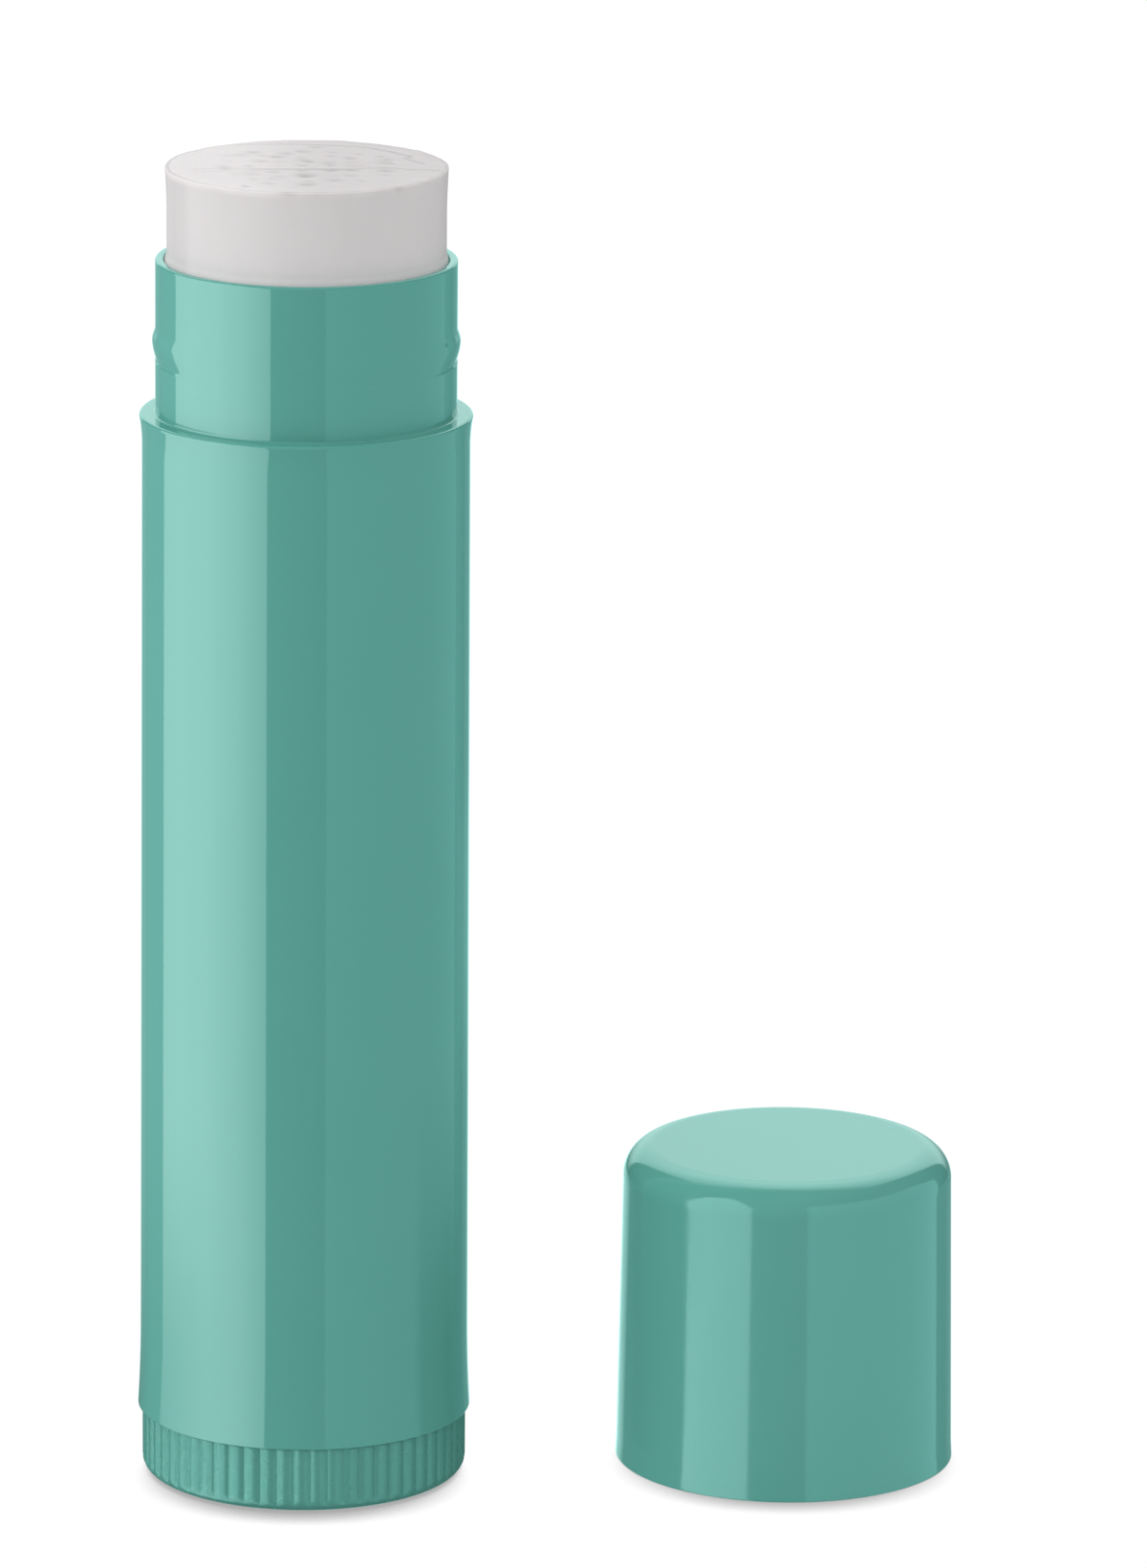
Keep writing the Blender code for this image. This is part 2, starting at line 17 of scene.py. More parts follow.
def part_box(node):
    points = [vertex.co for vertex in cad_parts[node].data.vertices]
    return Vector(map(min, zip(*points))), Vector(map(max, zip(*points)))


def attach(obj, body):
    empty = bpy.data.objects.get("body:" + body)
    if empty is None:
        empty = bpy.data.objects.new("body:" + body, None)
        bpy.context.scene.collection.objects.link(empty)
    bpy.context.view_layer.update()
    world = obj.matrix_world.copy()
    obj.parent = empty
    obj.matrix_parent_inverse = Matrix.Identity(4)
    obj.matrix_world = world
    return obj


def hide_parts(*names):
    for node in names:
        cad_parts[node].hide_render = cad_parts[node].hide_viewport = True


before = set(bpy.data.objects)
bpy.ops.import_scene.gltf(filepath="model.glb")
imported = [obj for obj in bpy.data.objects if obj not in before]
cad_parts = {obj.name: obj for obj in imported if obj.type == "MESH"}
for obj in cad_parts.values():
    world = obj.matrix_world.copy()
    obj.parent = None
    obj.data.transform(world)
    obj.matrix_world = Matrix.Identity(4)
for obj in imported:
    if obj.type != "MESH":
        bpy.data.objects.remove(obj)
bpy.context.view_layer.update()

MM = 0.001

# %% [markdown]
# Sizes in this lesson are in millimetres, and one function turns them into Blender's metres when
# a mesh is made. The heights of the pieces and the cap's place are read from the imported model, so
# that nothing has to be fitted afterwards.


# %% Read the frame
def frame_box(node):
    """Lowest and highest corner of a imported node, in millimetres."""
    low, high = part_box(node)
    return np.array(low) / MM, np.array(high) / MM


tube_low, tube_high = frame_box("barrel")
balm_low, balm_high = frame_box("balm")
cap_low, cap_high = frame_box("cap")

NECK_LENGTH = 7.59
SLEEVE_FOOT = tube_low[2]
NECK_TOP = tube_high[2]
SHOULDER = NECK_TOP - NECK_LENGTH
COLLAR_TOP = frame_box("thumbwheel")[1][2]
BALM_FOOT = balm_low[2]
BALM_TOP = balm_high[2]
CAP_PLACE = (cap_low[0] + cap_high[0]) / 2
CAP_TOP = cap_high[2]
print(f"heights: neck {NECK_TOP:.2f}, shoulder {SHOULDER:.2f}, balm {BALM_TOP:.2f}")
print(f"cap: {CAP_TOP:.2f} high, at x {CAP_PLACE:.2f}")

# %% [markdown]
# The camera
#
# A long lens a good half metre away, looking down by fourteen degrees: the two ends of the stick
# keep almost the same width, and the tops show as flat ellipses. A camera could be aimed with a
# constraint, but its place and turn are few numbers, so its matrix is written straight away: its
# right, its up, and the direction backwards are the three columns.

# %% Place the camera
CAMERA_TURN = math.radians(6.802)
CAMERA_PITCH = math.radians(14.118)
CAMERA_ROLL = math.radians(0.50)
CAMERA_DISTANCE = 523.34
AIM_ACROSS = 13.107
AIM_HEIGHT = 34.981
LENS = 245.68
SENSOR = 36.0
CLIP_START = 10.0

UP = Vector((0, 0, 1))
ACROSS = Vector((math.cos(CAMERA_TURN), -math.sin(CAMERA_TURN), 0))
AHEAD = Vector((math.sin(CAMERA_TURN), math.cos(CAMERA_TURN), 0))


def place_camera():
    """The camera stands back from its aim along its line of sight, and is rolled about that line."""
    sight = AHEAD * math.cos(CAMERA_PITCH) - UP * math.sin(CAMERA_PITCH)
    lift = AHEAD * math.sin(CAMERA_PITCH) + UP * math.cos(CAMERA_PITCH)
    right = ACROSS * math.cos(CAMERA_ROLL) + lift * math.sin(CAMERA_ROLL)
    top = lift * math.cos(CAMERA_ROLL) - ACROSS * math.sin(CAMERA_ROLL)
    eye = (ACROSS * AIM_ACROSS + UP * AIM_HEIGHT - sight * CAMERA_DISTANCE) * MM

    data = bpy.data.cameras.new("camera")
    data.lens = LENS
    data.sensor_width = SENSOR
    data.sensor_fit = "AUTO"
    data.clip_start = CLIP_START * MM
    camera = bpy.data.objects.new("camera", data)
    bpy.context.scene.collection.objects.link(camera)
    camera.matrix_world = Matrix((right, top, -sight)).transposed().to_4x4()
    camera.matrix_world.translation = eye
    bpy.context.scene.camera = camera
    return eye


eye = place_camera()
bpy.context.scene.view_settings.view_transform = "Standard"
print("camera at", [round(v / MM, 1) for v in eye], "mm")

# %% [markdown]
# Grids and outlines
#
# Every new surface here is a grid of points: rows by columns, worked out as whole arrays. A turned
# piece takes its rows from an outline, the half section that a lathe or a mould maker would draw,
# and its columns from the angle round the axis. Blender's Screw modifier could turn the outline
# too, but on a grid the radius may also change with the angle, which gives ribs and slots without
# any cutting.


# %% Helpers for meshes
def grid_mesh(name, points, ring=False, turned=True, poles=False):
    """Makes one mesh from points of shape (rows, columns, 3), in millimetres.

    Each face joins a point, the one in the next row, that one's neighbour and the point's own
    neighbour. A ring closes its last row on its first, a turned grid its last column on its first.
    Poles closes the first and the last row with a fan of triangles to their middles.
    """
    rows, columns = points.shape[:2]
    here = np.arange(rows * columns).reshape(rows, columns)
    below = np.roll(here, -1, axis=0)
    beside = np.roll(here, -1, axis=1)
    both = np.roll(below, -1, axis=1)
    used_rows = rows if ring else rows - 1
    used_columns = columns if turned else columns - 1
    quads = np.stack([here, below, both, beside], axis=-1)[:used_rows, :used_columns]
    faces = quads.reshape(-1, 4).tolist()
    corners = points.reshape(-1, 3)
    if poles:
        first = np.full(columns, rows * columns)
        corners = np.vstack([corners, points[0].mean(0), points[-1].mean(0)])
        faces += np.stack([first, here[0], beside[0]], axis=-1).tolist()
        faces += np.stack([first + 1, beside[-1], here[-1]], axis=-1).tolist()
    mesh = bpy.data.meshes.new(name)
    mesh.from_pydata((corners * MM).tolist(), [], faces)
    mesh.shade_smooth()
    obj = bpy.data.objects.new(name, mesh)
    bpy.context.scene.collection.objects.link(obj)
    return obj


def turned_points(radius, height, centre=0.0):
    """Points of a turned grid: across = radius x cosine, deep = radius x sine of each column's angle."""
    angle = columns_round(radius.shape[1])
    return np.stack([radius * np.cos(angle) + centre, radius * np.sin(angle), height], axis=-1)


def columns_round(count):
    """Evenly spaced angles round the axis, starting on +X."""
    return np.arange(count) * 2 * math.pi / count


def ease(share):
    """Goes from 0 to 1 with level ends: three times the share squared, less two times it cubed."""
    share = np.clip(share, 0, 1)
    return share * share * (3 - 2 * share)


def rise(value, start, length):
    """0 before the start, eased up to 1 over a length."""
    return ease((value - start) / length)


def window(value, start, full, still_full, end):
    """0 before the start, eased up to 1 where it is full, and eased back to 0 at the end."""
    return ease((value - start) / (full - start)) * ease((end - value) / (end - still_full))


def rounded(corners, steps=5):
    """An outline through (radius, height, rounding) corners; the first and last stay points.

    A rounded corner becomes an arc that touches both its sides. Its centre lies on the line that
    halves the corner, and its points swing evenly from one touching point to the other.
    """
    corners = np.array(corners, float)
    spots = corners[:, :2]
    pieces = [spots[:1]]
    share = np.linspace(0, 1, steps)[:, None]
    for before, spot, after, size in zip(spots, spots[1:], spots[2:], corners[1:, 2]):
        if size == 0:
            pieces.append(spot[None])
            continue
        back = (before - spot) / np.linalg.norm(before - spot)
        onward = (after - spot) / np.linalg.norm(after - spot)
        half = math.acos(back @ onward) / 2
        centre = spot + (back + onward) / np.linalg.norm(back + onward) * size / math.sin(half)
        start = spot + back * size / math.tan(half) - centre
        end = spot + onward * size / math.tan(half) - centre
        swing = math.pi - 2 * half
        arc = np.sin((1 - share) * swing) * start + np.sin(share * swing) * end
        pieces.append(centre + arc / math.sin(swing))
    pieces.append(spots[-1:])
    return np.vstack(pieces)


def sharp(outline):
    """The (radius, height) points of an outline as corners without a rounding."""
    return np.pad(outline, ((0, 0), (0, 1)))


def filled(outline, skirt=0.05, longest=2.5):
    """Adds rows to long straight runs: one close to each end, so that the shading stays flat up to
    the edge, and more in between where the run is long."""
    points = []
    for start, end in zip(outline, outline[1:]):
        length = np.linalg.norm(end - start)
        points.append(start)
        if length > 4 * skirt:
            for distance in np.linspace(skirt, length - skirt, 2 + int(length / longest)):
                points.append(start + (end - start) * distance / length)
    points.append(outline[-1])
    return np.array(points)


# %% [markdown]
# Materials
#
# All three materials are plastics or wax, so none is metallic. Their colours are written as sRGB
# hex values and turned to linear ones. The patterns read Object coordinates in metres, so a
# noise scale is one over the size of its grains.


# %% Helpers for materials
def colour(text):
    """Linear colour from an sRGB hex value: each share is ((c + 0.055) / 1.055) to the power 2.4."""
    shares = [int(text[i : i + 2], 16) / 255 for i in (1, 3, 5)]
    linear = [c / 12.92 if c <= 0.04045 else ((c + 0.055) / 1.055) ** 2.4 for c in shares]
    return (*linear, 1.0)


def add(tree, kind, inputs=None, **settings):
    """Adds a node with its settings; an input is either a value or the output it is linked to."""
    node = tree.nodes.new(kind)
    for name, value in settings.items():
        setattr(node, name, value)
    for name, value in (inputs or {}).items():
        if isinstance(value, bpy.types.NodeSocket):
            tree.links.new(value, node.inputs[name])
        else:
            node.inputs[name].default_value = value
    return node


def grain(size):
    """Noise scale for grains of a size in millimetres."""
    return 1 / (size * MM)


def new_material(name, bare=False):
    """A material and its node tree, which is emptied if it is to be bare."""
    material = bpy.data.materials.new(name)
    material.use_nodes = True
    if bare:
        material.node_tree.nodes.clear()
    return material, material.node_tree


def set_finish(shader, finish):
    """Sets the values that are the same all over, each on the shader's own socket."""
    for name, value in finish.items():
        shader.inputs[name].default_value = value


# The Mix node's sockets share their names between its data types, so they go by number here
MIX_SHARE = 0
MIX_A = 6
MIX_B = 7
MIX_RESULT = 2


def mottled(tree, place, size, detail, shades):
    """Two shades, mixed by soft clouds of a size in millimetres."""
    clouds = add(tree, "ShaderNodeTexNoise", {"Vector": place, "Scale": grain(size), "Detail": detail})
    mix = add(
        tree,
        "ShaderNodeMix",
        {MIX_SHARE: clouds.outputs["Fac"], MIX_A: colour(shades[0]), MIX_B: colour(shades[1])},
        data_type="RGBA",
    )
    return mix.outputs[MIX_RESULT]


# %% [markdown]
# Teal polypropylene
#
# Tube, cap and wheel are injection moulded from the same through-coloured polypropylene. The
# cavity of the tube is polished, so it has sharp reflections; the cap's is a little duller, and
# the wheel's is satin. Real moulded walls are never perfectly flat: a slow ripple bends the edges
# of the reflections a little, and the pigment is not quite even. The cap's teal is a shade lighter,
# as painted light, and the wheel's a shade darker, as painted shade.


# %% Teal plastic
# The cap's shades are a little lighter than the tube's, as painted light, and the wheel's a little darker,
# as painted shade
TUBE_TEAL = ("#5AA095", "#5EA399")
CAP_LIT_TEAL = ("#5CA297", "#60A59B")
WHEEL_SHADED_TEAL = ("#53978C", "#579A90")
POLYPROPYLENE_IOR = 1.49
PIGMENT_CLOUDS = 7.0
HAZE_GRAIN = 1.2
HAZE_SPREAD = 0.25
RIPPLE_LENGTH = 2.5


def teal_plastic(name, shades, roughness, ripple):
    """Moulded polypropylene: two shades of pigment, a slow ripple, and uneven roughness.

    The roughness varies by the haze's spread either way; the ripple's height is in millimetres.
    """
    material, tree = new_material(name)
    shader = tree.nodes["Principled BSDF"]
    place = add(tree, "ShaderNodeTexCoord").outputs["Object"]
    pigment = mottled(tree, place, size=PIGMENT_CLOUDS, detail=3.0, shades=shades)
    haze = add(tree, "ShaderNodeTexNoise", {"Vector": place, "Scale": grain(HAZE_GRAIN), "Detail": 4.0})
    uneven = add(
        tree,
        "ShaderNodeMapRange",
        {
            "Value": haze.outputs["Fac"],
            "To Min": roughness * (1 - HAZE_SPREAD),
            "To Max": roughness * (1 + HAZE_SPREAD),
        },
    )
    waves = add(tree, "ShaderNodeTexNoise", {"Vector": place, "Scale": grain(RIPPLE_LENGTH), "Detail": 1.0})
    surface = add(
        tree,
        "ShaderNodeBump",
        {"Height": waves.outputs["Fac"], "Strength": 1.0, "Distance": ripple * MM},
    )
    tree.links.new(pigment, shader.inputs["Base Color"])
    tree.links.new(uneven.outputs["Result"], shader.inputs["Roughness"])
    tree.links.new(surface.outputs["Normal"], shader.inputs["Normal"])
    set_finish(shader, {"IOR": POLYPROPYLENE_IOR})
    return material


tube_plastic = teal_plastic("polished_teal_polypropylene", TUBE_TEAL, roughness=0.05, ripple=0.0012)
cap_plastic = teal_plastic("moulded_lit_teal_polypropylene", CAP_LIT_TEAL, roughness=0.10, ripple=0.0016)
wheel_plastic = teal_plastic("satin_shaded_teal_polypropylene", WHEEL_SHADED_TEAL, roughness=0.27, ripple=0.0015)
print("teal:", tube_plastic.name, cap_plastic.name, wheel_plastic.name)

# %% [markdown]
# Natural polypropylene and balm
#
# The screw and the elevator are moulded from uncoloured polypropylene: milky and slightly
# translucent, with a fine satin grain. The balm is wax cast hot into the tube. Light enters it and
# comes out again a little further on, which softens its shading, so both get subsurface scattering.
# The colour of the wax also carries painted shade: a share stored at the mesh's points, which at 1
# brings the colour down to a darker grey. It darkens dents and scratches, the edge, the side, and
# the top towards the right.

# %% Uncoloured plastic
MILK_CLOUDS = 4.0
SATIN_GRAIN = 0.15
SATIN_DEPTH = 0.004
NATURAL_FINISH = {
    "Roughness": 0.4,
    "IOR": POLYPROPYLENE_IOR,
    "Subsurface Weight": 0.3,
    "Subsurface Radius": (1.0, 1.0, 0.9),
    "Subsurface Scale": 1.0 * MM,
}


def natural_plastic():
    """Milky moulded polypropylene with a fine satin grain."""
    material, tree = new_material("natural_polypropylene")
    shader = tree.nodes["Principled BSDF"]
    place = add(tree, "ShaderNodeTexCoord").outputs["Object"]
    milk = mottled(tree, place, size=MILK_CLOUDS, detail=2.0, shades=("#E4E4DC", "#ECECE6"))
    fine = add(tree, "ShaderNodeTexNoise", {"Vector": place, "Scale": grain(SATIN_GRAIN), "Detail": 2.0})
    surface = add(
        tree,
        "ShaderNodeBump",
        {"Height": fine.outputs["Fac"], "Strength": 1.0, "Distance": SATIN_DEPTH * MM},
    )
    tree.links.new(milk, shader.inputs["Base Color"])
    tree.links.new(surface.outputs["Normal"], shader.inputs["Normal"])
    set_finish(shader, NATURAL_FINISH)
    return material


natural = natural_plastic()
print("inner pieces:", natural.name)

# %% Balm wax
WAX_CLOUDS = 3.0
DRAG_WIDTH = 0.5
DRAG_STRETCH = (1.0, 1.0, 0.06)
GREASE_GRAIN = 0.35
WAX_RELIEF = 0.012
# Painted shade: the grey that a stored share of 1 multiplies the wax by, and the share at which it is black
PAINTED_SHADE_GREY = 0.75
PAINTED_SHADE_MOST = 4.0
WAX_FINISH = {
    "Roughness": 0.46,
    "IOR": 1.44,
    "Specular IOR Level": 0.3,
    "Subsurface Weight": 0.6,
    "Subsurface Radius": (1.0, 0.9, 0.85),
    "Subsurface Scale": 0.3 * MM,
}


def balm_wax():
    """Cast wax: soft mottling, faint upright drag marks on the side and a fine greasy grain.

    Painted shade multiplies it by a grey that falls evenly: 1 less (1 less the grey at a share of 1) x the
    share.
    """
    material, tree = new_material("cast_balm_wax")
    shader = tree.nodes["Principled BSDF"]
    place = add(tree, "ShaderNodeTexCoord").outputs["Object"]
    wax = mottled(tree, place, size=WAX_CLOUDS, detail=4.0, shades=("#F2EEEF", "#F9F6F6"))
    stretched = add(tree, "ShaderNodeMapping", {"Vector": place, "Scale": DRAG_STRETCH})
    drag = add(
        tree,
        "ShaderNodeTexNoise",
        {"Vector": stretched.outputs["Vector"], "Scale": grain(DRAG_WIDTH), "Detail": 3.0},
    )
    grease = add(tree, "ShaderNodeTexNoise", {"Vector": place, "Scale": grain(GREASE_GRAIN), "Detail": 5.0})
    relief = {"Strength": 1.0, "Distance": WAX_RELIEF * MM}
    marks = add(tree, "ShaderNodeBump", {"Height": drag.outputs["Fac"], **relief})
    surface = add(
        tree,
        "ShaderNodeBump",
        {"Height": grease.outputs["Fac"], "Normal": marks.outputs["Normal"], **relief},
    )
    # The share of painted shade stored at the points darkens the wax
    painted_shade = add(tree, "ShaderNodeAttribute", attribute_name="painted_shade")
    darkest = 1 - PAINTED_SHADE_MOST * (1 - PAINTED_SHADE_GREY)
    shade = add(
        tree,
        "ShaderNodeMapRange",
        {"Value": painted_shade.outputs["Fac"], "From Max": PAINTED_SHADE_MOST, "To Min": 1.0, "To Max": darkest},
    )
    shaded_wax = add(
        tree,
        "ShaderNodeMix",
        {MIX_SHARE: 1.0, MIX_A: wax, MIX_B: shade.outputs["Result"]},
        data_type="RGBA",
        blend_type="MULTIPLY",
    )
    tree.links.new(shaded_wax.outputs[MIX_RESULT], shader.inputs["Base Color"])
    tree.links.new(surface.outputs["Normal"], shader.inputs["Normal"])
    set_finish(shader, WAX_FINISH)
    return material


wax = balm_wax()
print("filling:", wax.name)

# %% [markdown]
# The body tube
#
# One moulding: a sleeve that flares by a hair at both ends, and above the shoulder a thin neck with
# a snap bead for the cap. The bead swells gently on its upper side and ends below in a small
# undercut with a sharp lower edge, which puts a notch into the reflections. It is full on the left
# and right side, and nearly fades out between them, so the reflections in front stay straight.
# Inside run four guide ribs and the groove for the wheel's snap bead. The outline is a closed loop
# with its seam in the bore, and bead and ribs come from a radius that changes with the angle.

# %% Tube sizes
BORE = 6.9
NECK_RADIUS = 7.325
RIM_EDGE = 0.11
BEAD_TOP = 4.24
BEAD_CREST = 3.6
BEAD_FOOT = 2.62
BEAD_PROUD = 0.145
BEAD_UNDERCUT = 0.065
BEAD_STEP = 0.05
BEAD_ROWS = (9, 13)
BEAD_WEAKEST = 0.05
BEAD_SIDE = -CAMERA_TURN
BEAD_POWER = 4
LEDGE_CORNER = 0.10
SHOULDER_RADIUS = 8.12
SHOULDER_EDGE = 0.13
SLEEVE_TOP_RADIUS = 7.97
SHOULDER_FLARE_LENGTH = 1.6
SLEEVE_FOOT_RADIUS = 8.09
FOOT_RADIUS = 8.22
FOOT_FLARE_LENGTH = 4.5
FOOT_EDGE = 0.06
FLARE_ROWS = 9
SNAP_GROOVE = (2.5, 3.9, 7.3)
SNAP_GROOVE_EDGE = 0.05
GUIDE_RIBS = 4
GUIDE_RIB_HEIGHT = 0.45
GUIDE_RIB_WIDTH = 0.8
GUIDE_RIB_FOOT = COLLAR_TOP + 0.4
GUIDE_RIB_TOP = SHOULDER + 1.0
GUIDE_RIB_END = 0.04
GUIDE_RIB_FLANK = math.radians(1.0)
SEAM_DEPTHS = (1.0, 1.1)
ON_BORE = 0.001
OFF_BORE = 0.1
TUBE_COLUMNS = 384


# %% Outlines of the tube
def bead_outline():
    """Down the neck's bead: an eased swell to its crest, then a quarter-cosine fall into an undercut."""
    share = np.linspace(0, 1, BEAD_ROWS[0])[:, None]
    swell = BEAD_PROUD * ease(share)
    above = np.hstack([NECK_RADIUS + swell, SHOULDER + BEAD_TOP + (BEAD_CREST - BEAD_TOP) * share])
    share = np.linspace(0, 1, BEAD_ROWS[1])[1:, None]
    drop = (BEAD_PROUD + BEAD_UNDERCUT) * (1 - np.cos(share * math.pi / 2))
    height = SHOULDER + BEAD_CREST + (BEAD_FOOT - BEAD_CREST) * share
    below = np.hstack([NECK_RADIUS + BEAD_PROUD - drop, height])
    step = np.array([[NECK_RADIUS, SHOULDER + BEAD_FOOT - BEAD_STEP]])
    return sharp(np.vstack([above, below, step]))


def sleeve_outline():
    """Down the sleeve: a slight draft between two flares.

    A flare grows with the square of the share of its length, from where it starts to the end.
    """
    fade = np.linspace(0, 1, FLARE_ROWS)[1:, None]
    top = np.hstack([
        SLEEVE_TOP_RADIUS + (SHOULDER_RADIUS - SLEEVE_TOP_RADIUS) * (1 - fade) ** 2,
        SHOULDER - SHOULDER_FLARE_LENGTH * fade,
    ])
    fade = fade[::-1]
    foot = np.hstack([
        SLEEVE_FOOT_RADIUS + (FOOT_RADIUS - SLEEVE_FOOT_RADIUS) * (1 - fade) ** 2,
        SLEEVE_FOOT + FOOT_FLARE_LENGTH * fade,
    ])
    return sharp(np.vstack([top, foot]))


def tube_outline():
    """The wall's closed outline, from the bore up over the rim, down outside and back up the bore."""
    groove_low, groove_high, groove_radius = SNAP_GROOVE
    inside = [
        (BORE, NECK_TOP - SEAM_DEPTHS[0], 0),
        (BORE, NECK_TOP, RIM_EDGE),
        (NECK_RADIUS, NECK_TOP, RIM_EDGE),
    ]
    shoulder = [(NECK_RADIUS, SHOULDER, LEDGE_CORNER), (SHOULDER_RADIUS, SHOULDER, SHOULDER_EDGE)]
    foot = [
        (FOOT_RADIUS, SLEEVE_FOOT, FOOT_EDGE),
        (BORE, SLEEVE_FOOT, FOOT_EDGE),
        (BORE, SLEEVE_FOOT + groove_low, SNAP_GROOVE_EDGE),
        (groove_radius, SLEEVE_FOOT + groove_low, SNAP_GROOVE_EDGE),
        (groove_radius, SLEEVE_FOOT + groove_high, SNAP_GROOVE_EDGE),
        (BORE, SLEEVE_FOOT + groove_high, SNAP_GROOVE_EDGE),
        (BORE, GUIDE_RIB_FOOT, 0),
        (BORE, GUIDE_RIB_FOOT + GUIDE_RIB_END, 0),
        (BORE, GUIDE_RIB_TOP - GUIDE_RIB_END, 0),
        (BORE, GUIDE_RIB_TOP, 0),
        (BORE, NECK_TOP - SEAM_DEPTHS[1], 0),
    ]
    corners = np.vstack([inside, bead_outline(), shoulder, sleeve_outline(), foot])
    return filled(rounded(corners))


# %% Build the tube
def rib_window(angle, count, half_angle, soft):
    """1 on each of a number of evenly spaced ribs, half a spacing off +X, and 0 between them.

    It eases from 1 to 0 across each rib's flank, whose middle lies the half angle off the rib's.
    """
    spacing = 2 * math.pi / count
    off_middle = np.abs(np.mod(angle, spacing) - spacing / 2)
    return ease((half_angle + soft / 2 - off_middle) / soft)


def make_tube():
    """Turns the tube's outline, with a bead and guide ribs that depend on the angle.

    The bead's strength is its weakest share, plus the rest times the fourth power of the cosine
    of the angle from its full sides. The guide ribs take their height off the bore's radius.
    """
    outline = tube_outline()
    radius, height = outline[:, :1], outline[:, 1:]
    angle = columns_round(TUBE_COLUMNS)
    strength = BEAD_WEAKEST + (1 - BEAD_WEAKEST) * np.cos(angle - BEAD_SIDE) ** BEAD_POWER
    on_bead = (height > SHOULDER + BEAD_FOOT - BEAD_STEP / 2) & (height < SHOULDER + BEAD_TOP)
    on_bead &= radius > BORE + OFF_BORE
    half_rib = math.asin(GUIDE_RIB_WIDTH / 2 / BORE)
    ribs = rib_window(angle, GUIDE_RIBS, half_rib, GUIDE_RIB_FLANK)
    on_bore = (radius < BORE + ON_BORE) & (height > GUIDE_RIB_FOOT + GUIDE_RIB_END / 2)
    on_bore &= height < GUIDE_RIB_TOP - GUIDE_RIB_END / 2
    fading = on_bead * (1 - strength) * (radius - NECK_RADIUS)
    radius = radius - GUIDE_RIB_HEIGHT * on_bore * ribs - fading
    height = height + 0 * ribs
    tube = grid_mesh("body_tube", turned_points(radius, height), ring=True)
    tube.data.materials.append(tube_plastic)
    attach(tube, "tube")
    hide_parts("barrel")
    return tube


tube = make_tube()
print("body tube:", len(tube.data.polygons), "faces")

# %% [markdown]
# The thumbwheel
#
# The ribbed ring at the foot turns the screw. It has sixty finger ribs, each rounded across, with a
# sharp groove between it and the next one. They fade out a little above the floor, on the foot's
# rounding. A slotted collar snaps into the tube, and a hexagonal socket in the middle holds the
# screw. The underside has the round sunk mark of the gate through which the plastic came in. Ribs,
# slots and socket could be cut with Booleans; here they all come from the angle, so the grid stays
# even.

# %% Wheel sizes
WHEEL_RADIUS = 8.0
WHEEL_GAP = 0.06
WHEEL_FACE = SLEEVE_FOOT - WHEEL_GAP
WHEEL_EDGE = 0.06
WHEEL_FILLET = 0.7
WHEEL_FILLET_ROWS = 13
COLLAR_RADIUS = 6.6
COLLAR_BORE = 5.6
WHEEL_RIBS = 60
RIB_DEPTH = 0.12
RIB_FADE_FROM = 0.72
RIB_FADE_TO = 0.30
RIB_LAST_FULL = RIB_FADE_FROM + 0.2
FACE_OUTSIDE = COLLAR_RADIUS + 0.7
WHEEL_FLOOR = 1.2
HUB_TOP = 4.6
HUB_RADIUS = 3.2
SOCKET_FLOOR = 1.6
SOCKET_RADIUS = 2.0
SOCKET_SIDES = 6
SOCKET_BLEND = 0.5
SNAP_BEAD = (6.03, 7.03, 7.1)
SLOTS = 4
SLOT_WIDTH = 1.0
SLOT_FOOT = 3.83
SLOT_FLANK = math.radians(0.5)
SLOT_SINK = 0.98
COLLAR_MARGIN = 0.01
GATE_RADIUS = 1.0
GATE_DEPTH = 0.12
SMALL_EDGE = 0.08
WHEEL_POLE = 0.4
WHEEL_COLUMNS = 960


# %% Outline of the wheel
def wheel_outline():
    """From the socket's floor over the hub, the collar and the ribbed face to the foot's middle."""
    bead_low, bead_high, bead_radius = SNAP_BEAD
    corners = [
        (WHEEL_POLE, SOCKET_FLOOR, 0),
        (SOCKET_RADIUS, SOCKET_FLOOR, 0),
        (SOCKET_RADIUS, HUB_TOP, SMALL_EDGE),
        (HUB_RADIUS, HUB_TOP, SMALL_EDGE),
        (HUB_RADIUS, WHEEL_FLOOR, SMALL_EDGE),
        (COLLAR_BORE, WHEEL_FLOOR, SMALL_EDGE),
        (COLLAR_BORE, COLLAR_TOP, SMALL_EDGE),
        (COLLAR_RADIUS, COLLAR_TOP, SMALL_EDGE),
        (COLLAR_RADIUS, bead_high + bead_radius - COLLAR_RADIUS, 0),
        (bead_radius, bead_high, SMALL_EDGE),
        (bead_radius, bead_low, SMALL_EDGE),
        (COLLAR_RADIUS, bead_low, 0),
        (COLLAR_RADIUS, WHEEL_FACE, SMALL_EDGE),
        (WHEEL_RADIUS, WHEEL_FACE, WHEEL_EDGE),
        (WHEEL_RADIUS, RIB_LAST_FULL, 0),
        (WHEEL_RADIUS, RIB_FADE_FROM, 0),
        (WHEEL_RADIUS, WHEEL_FILLET, 0),
    ]
    swing = np.radians(np.linspace(0, -90, WHEEL_FILLET_ROWS)[1:])
    foot = WHEEL_RADIUS - WHEEL_FILLET + WHEEL_FILLET * np.cos(swing)
    fillet = np.stack([foot, WHEEL_FILLET + WHEEL_FILLET * np.sin(swing)], axis=-1)
    gate = [
        (GATE_RADIUS + GATE_DEPTH, 0, 0),
        (GATE_RADIUS, GATE_DEPTH, 0),
        (WHEEL_POLE, GATE_DEPTH, 0),
    ]
    return filled(rounded(np.vstack([corners, sharp(fillet), gate]), steps=4))


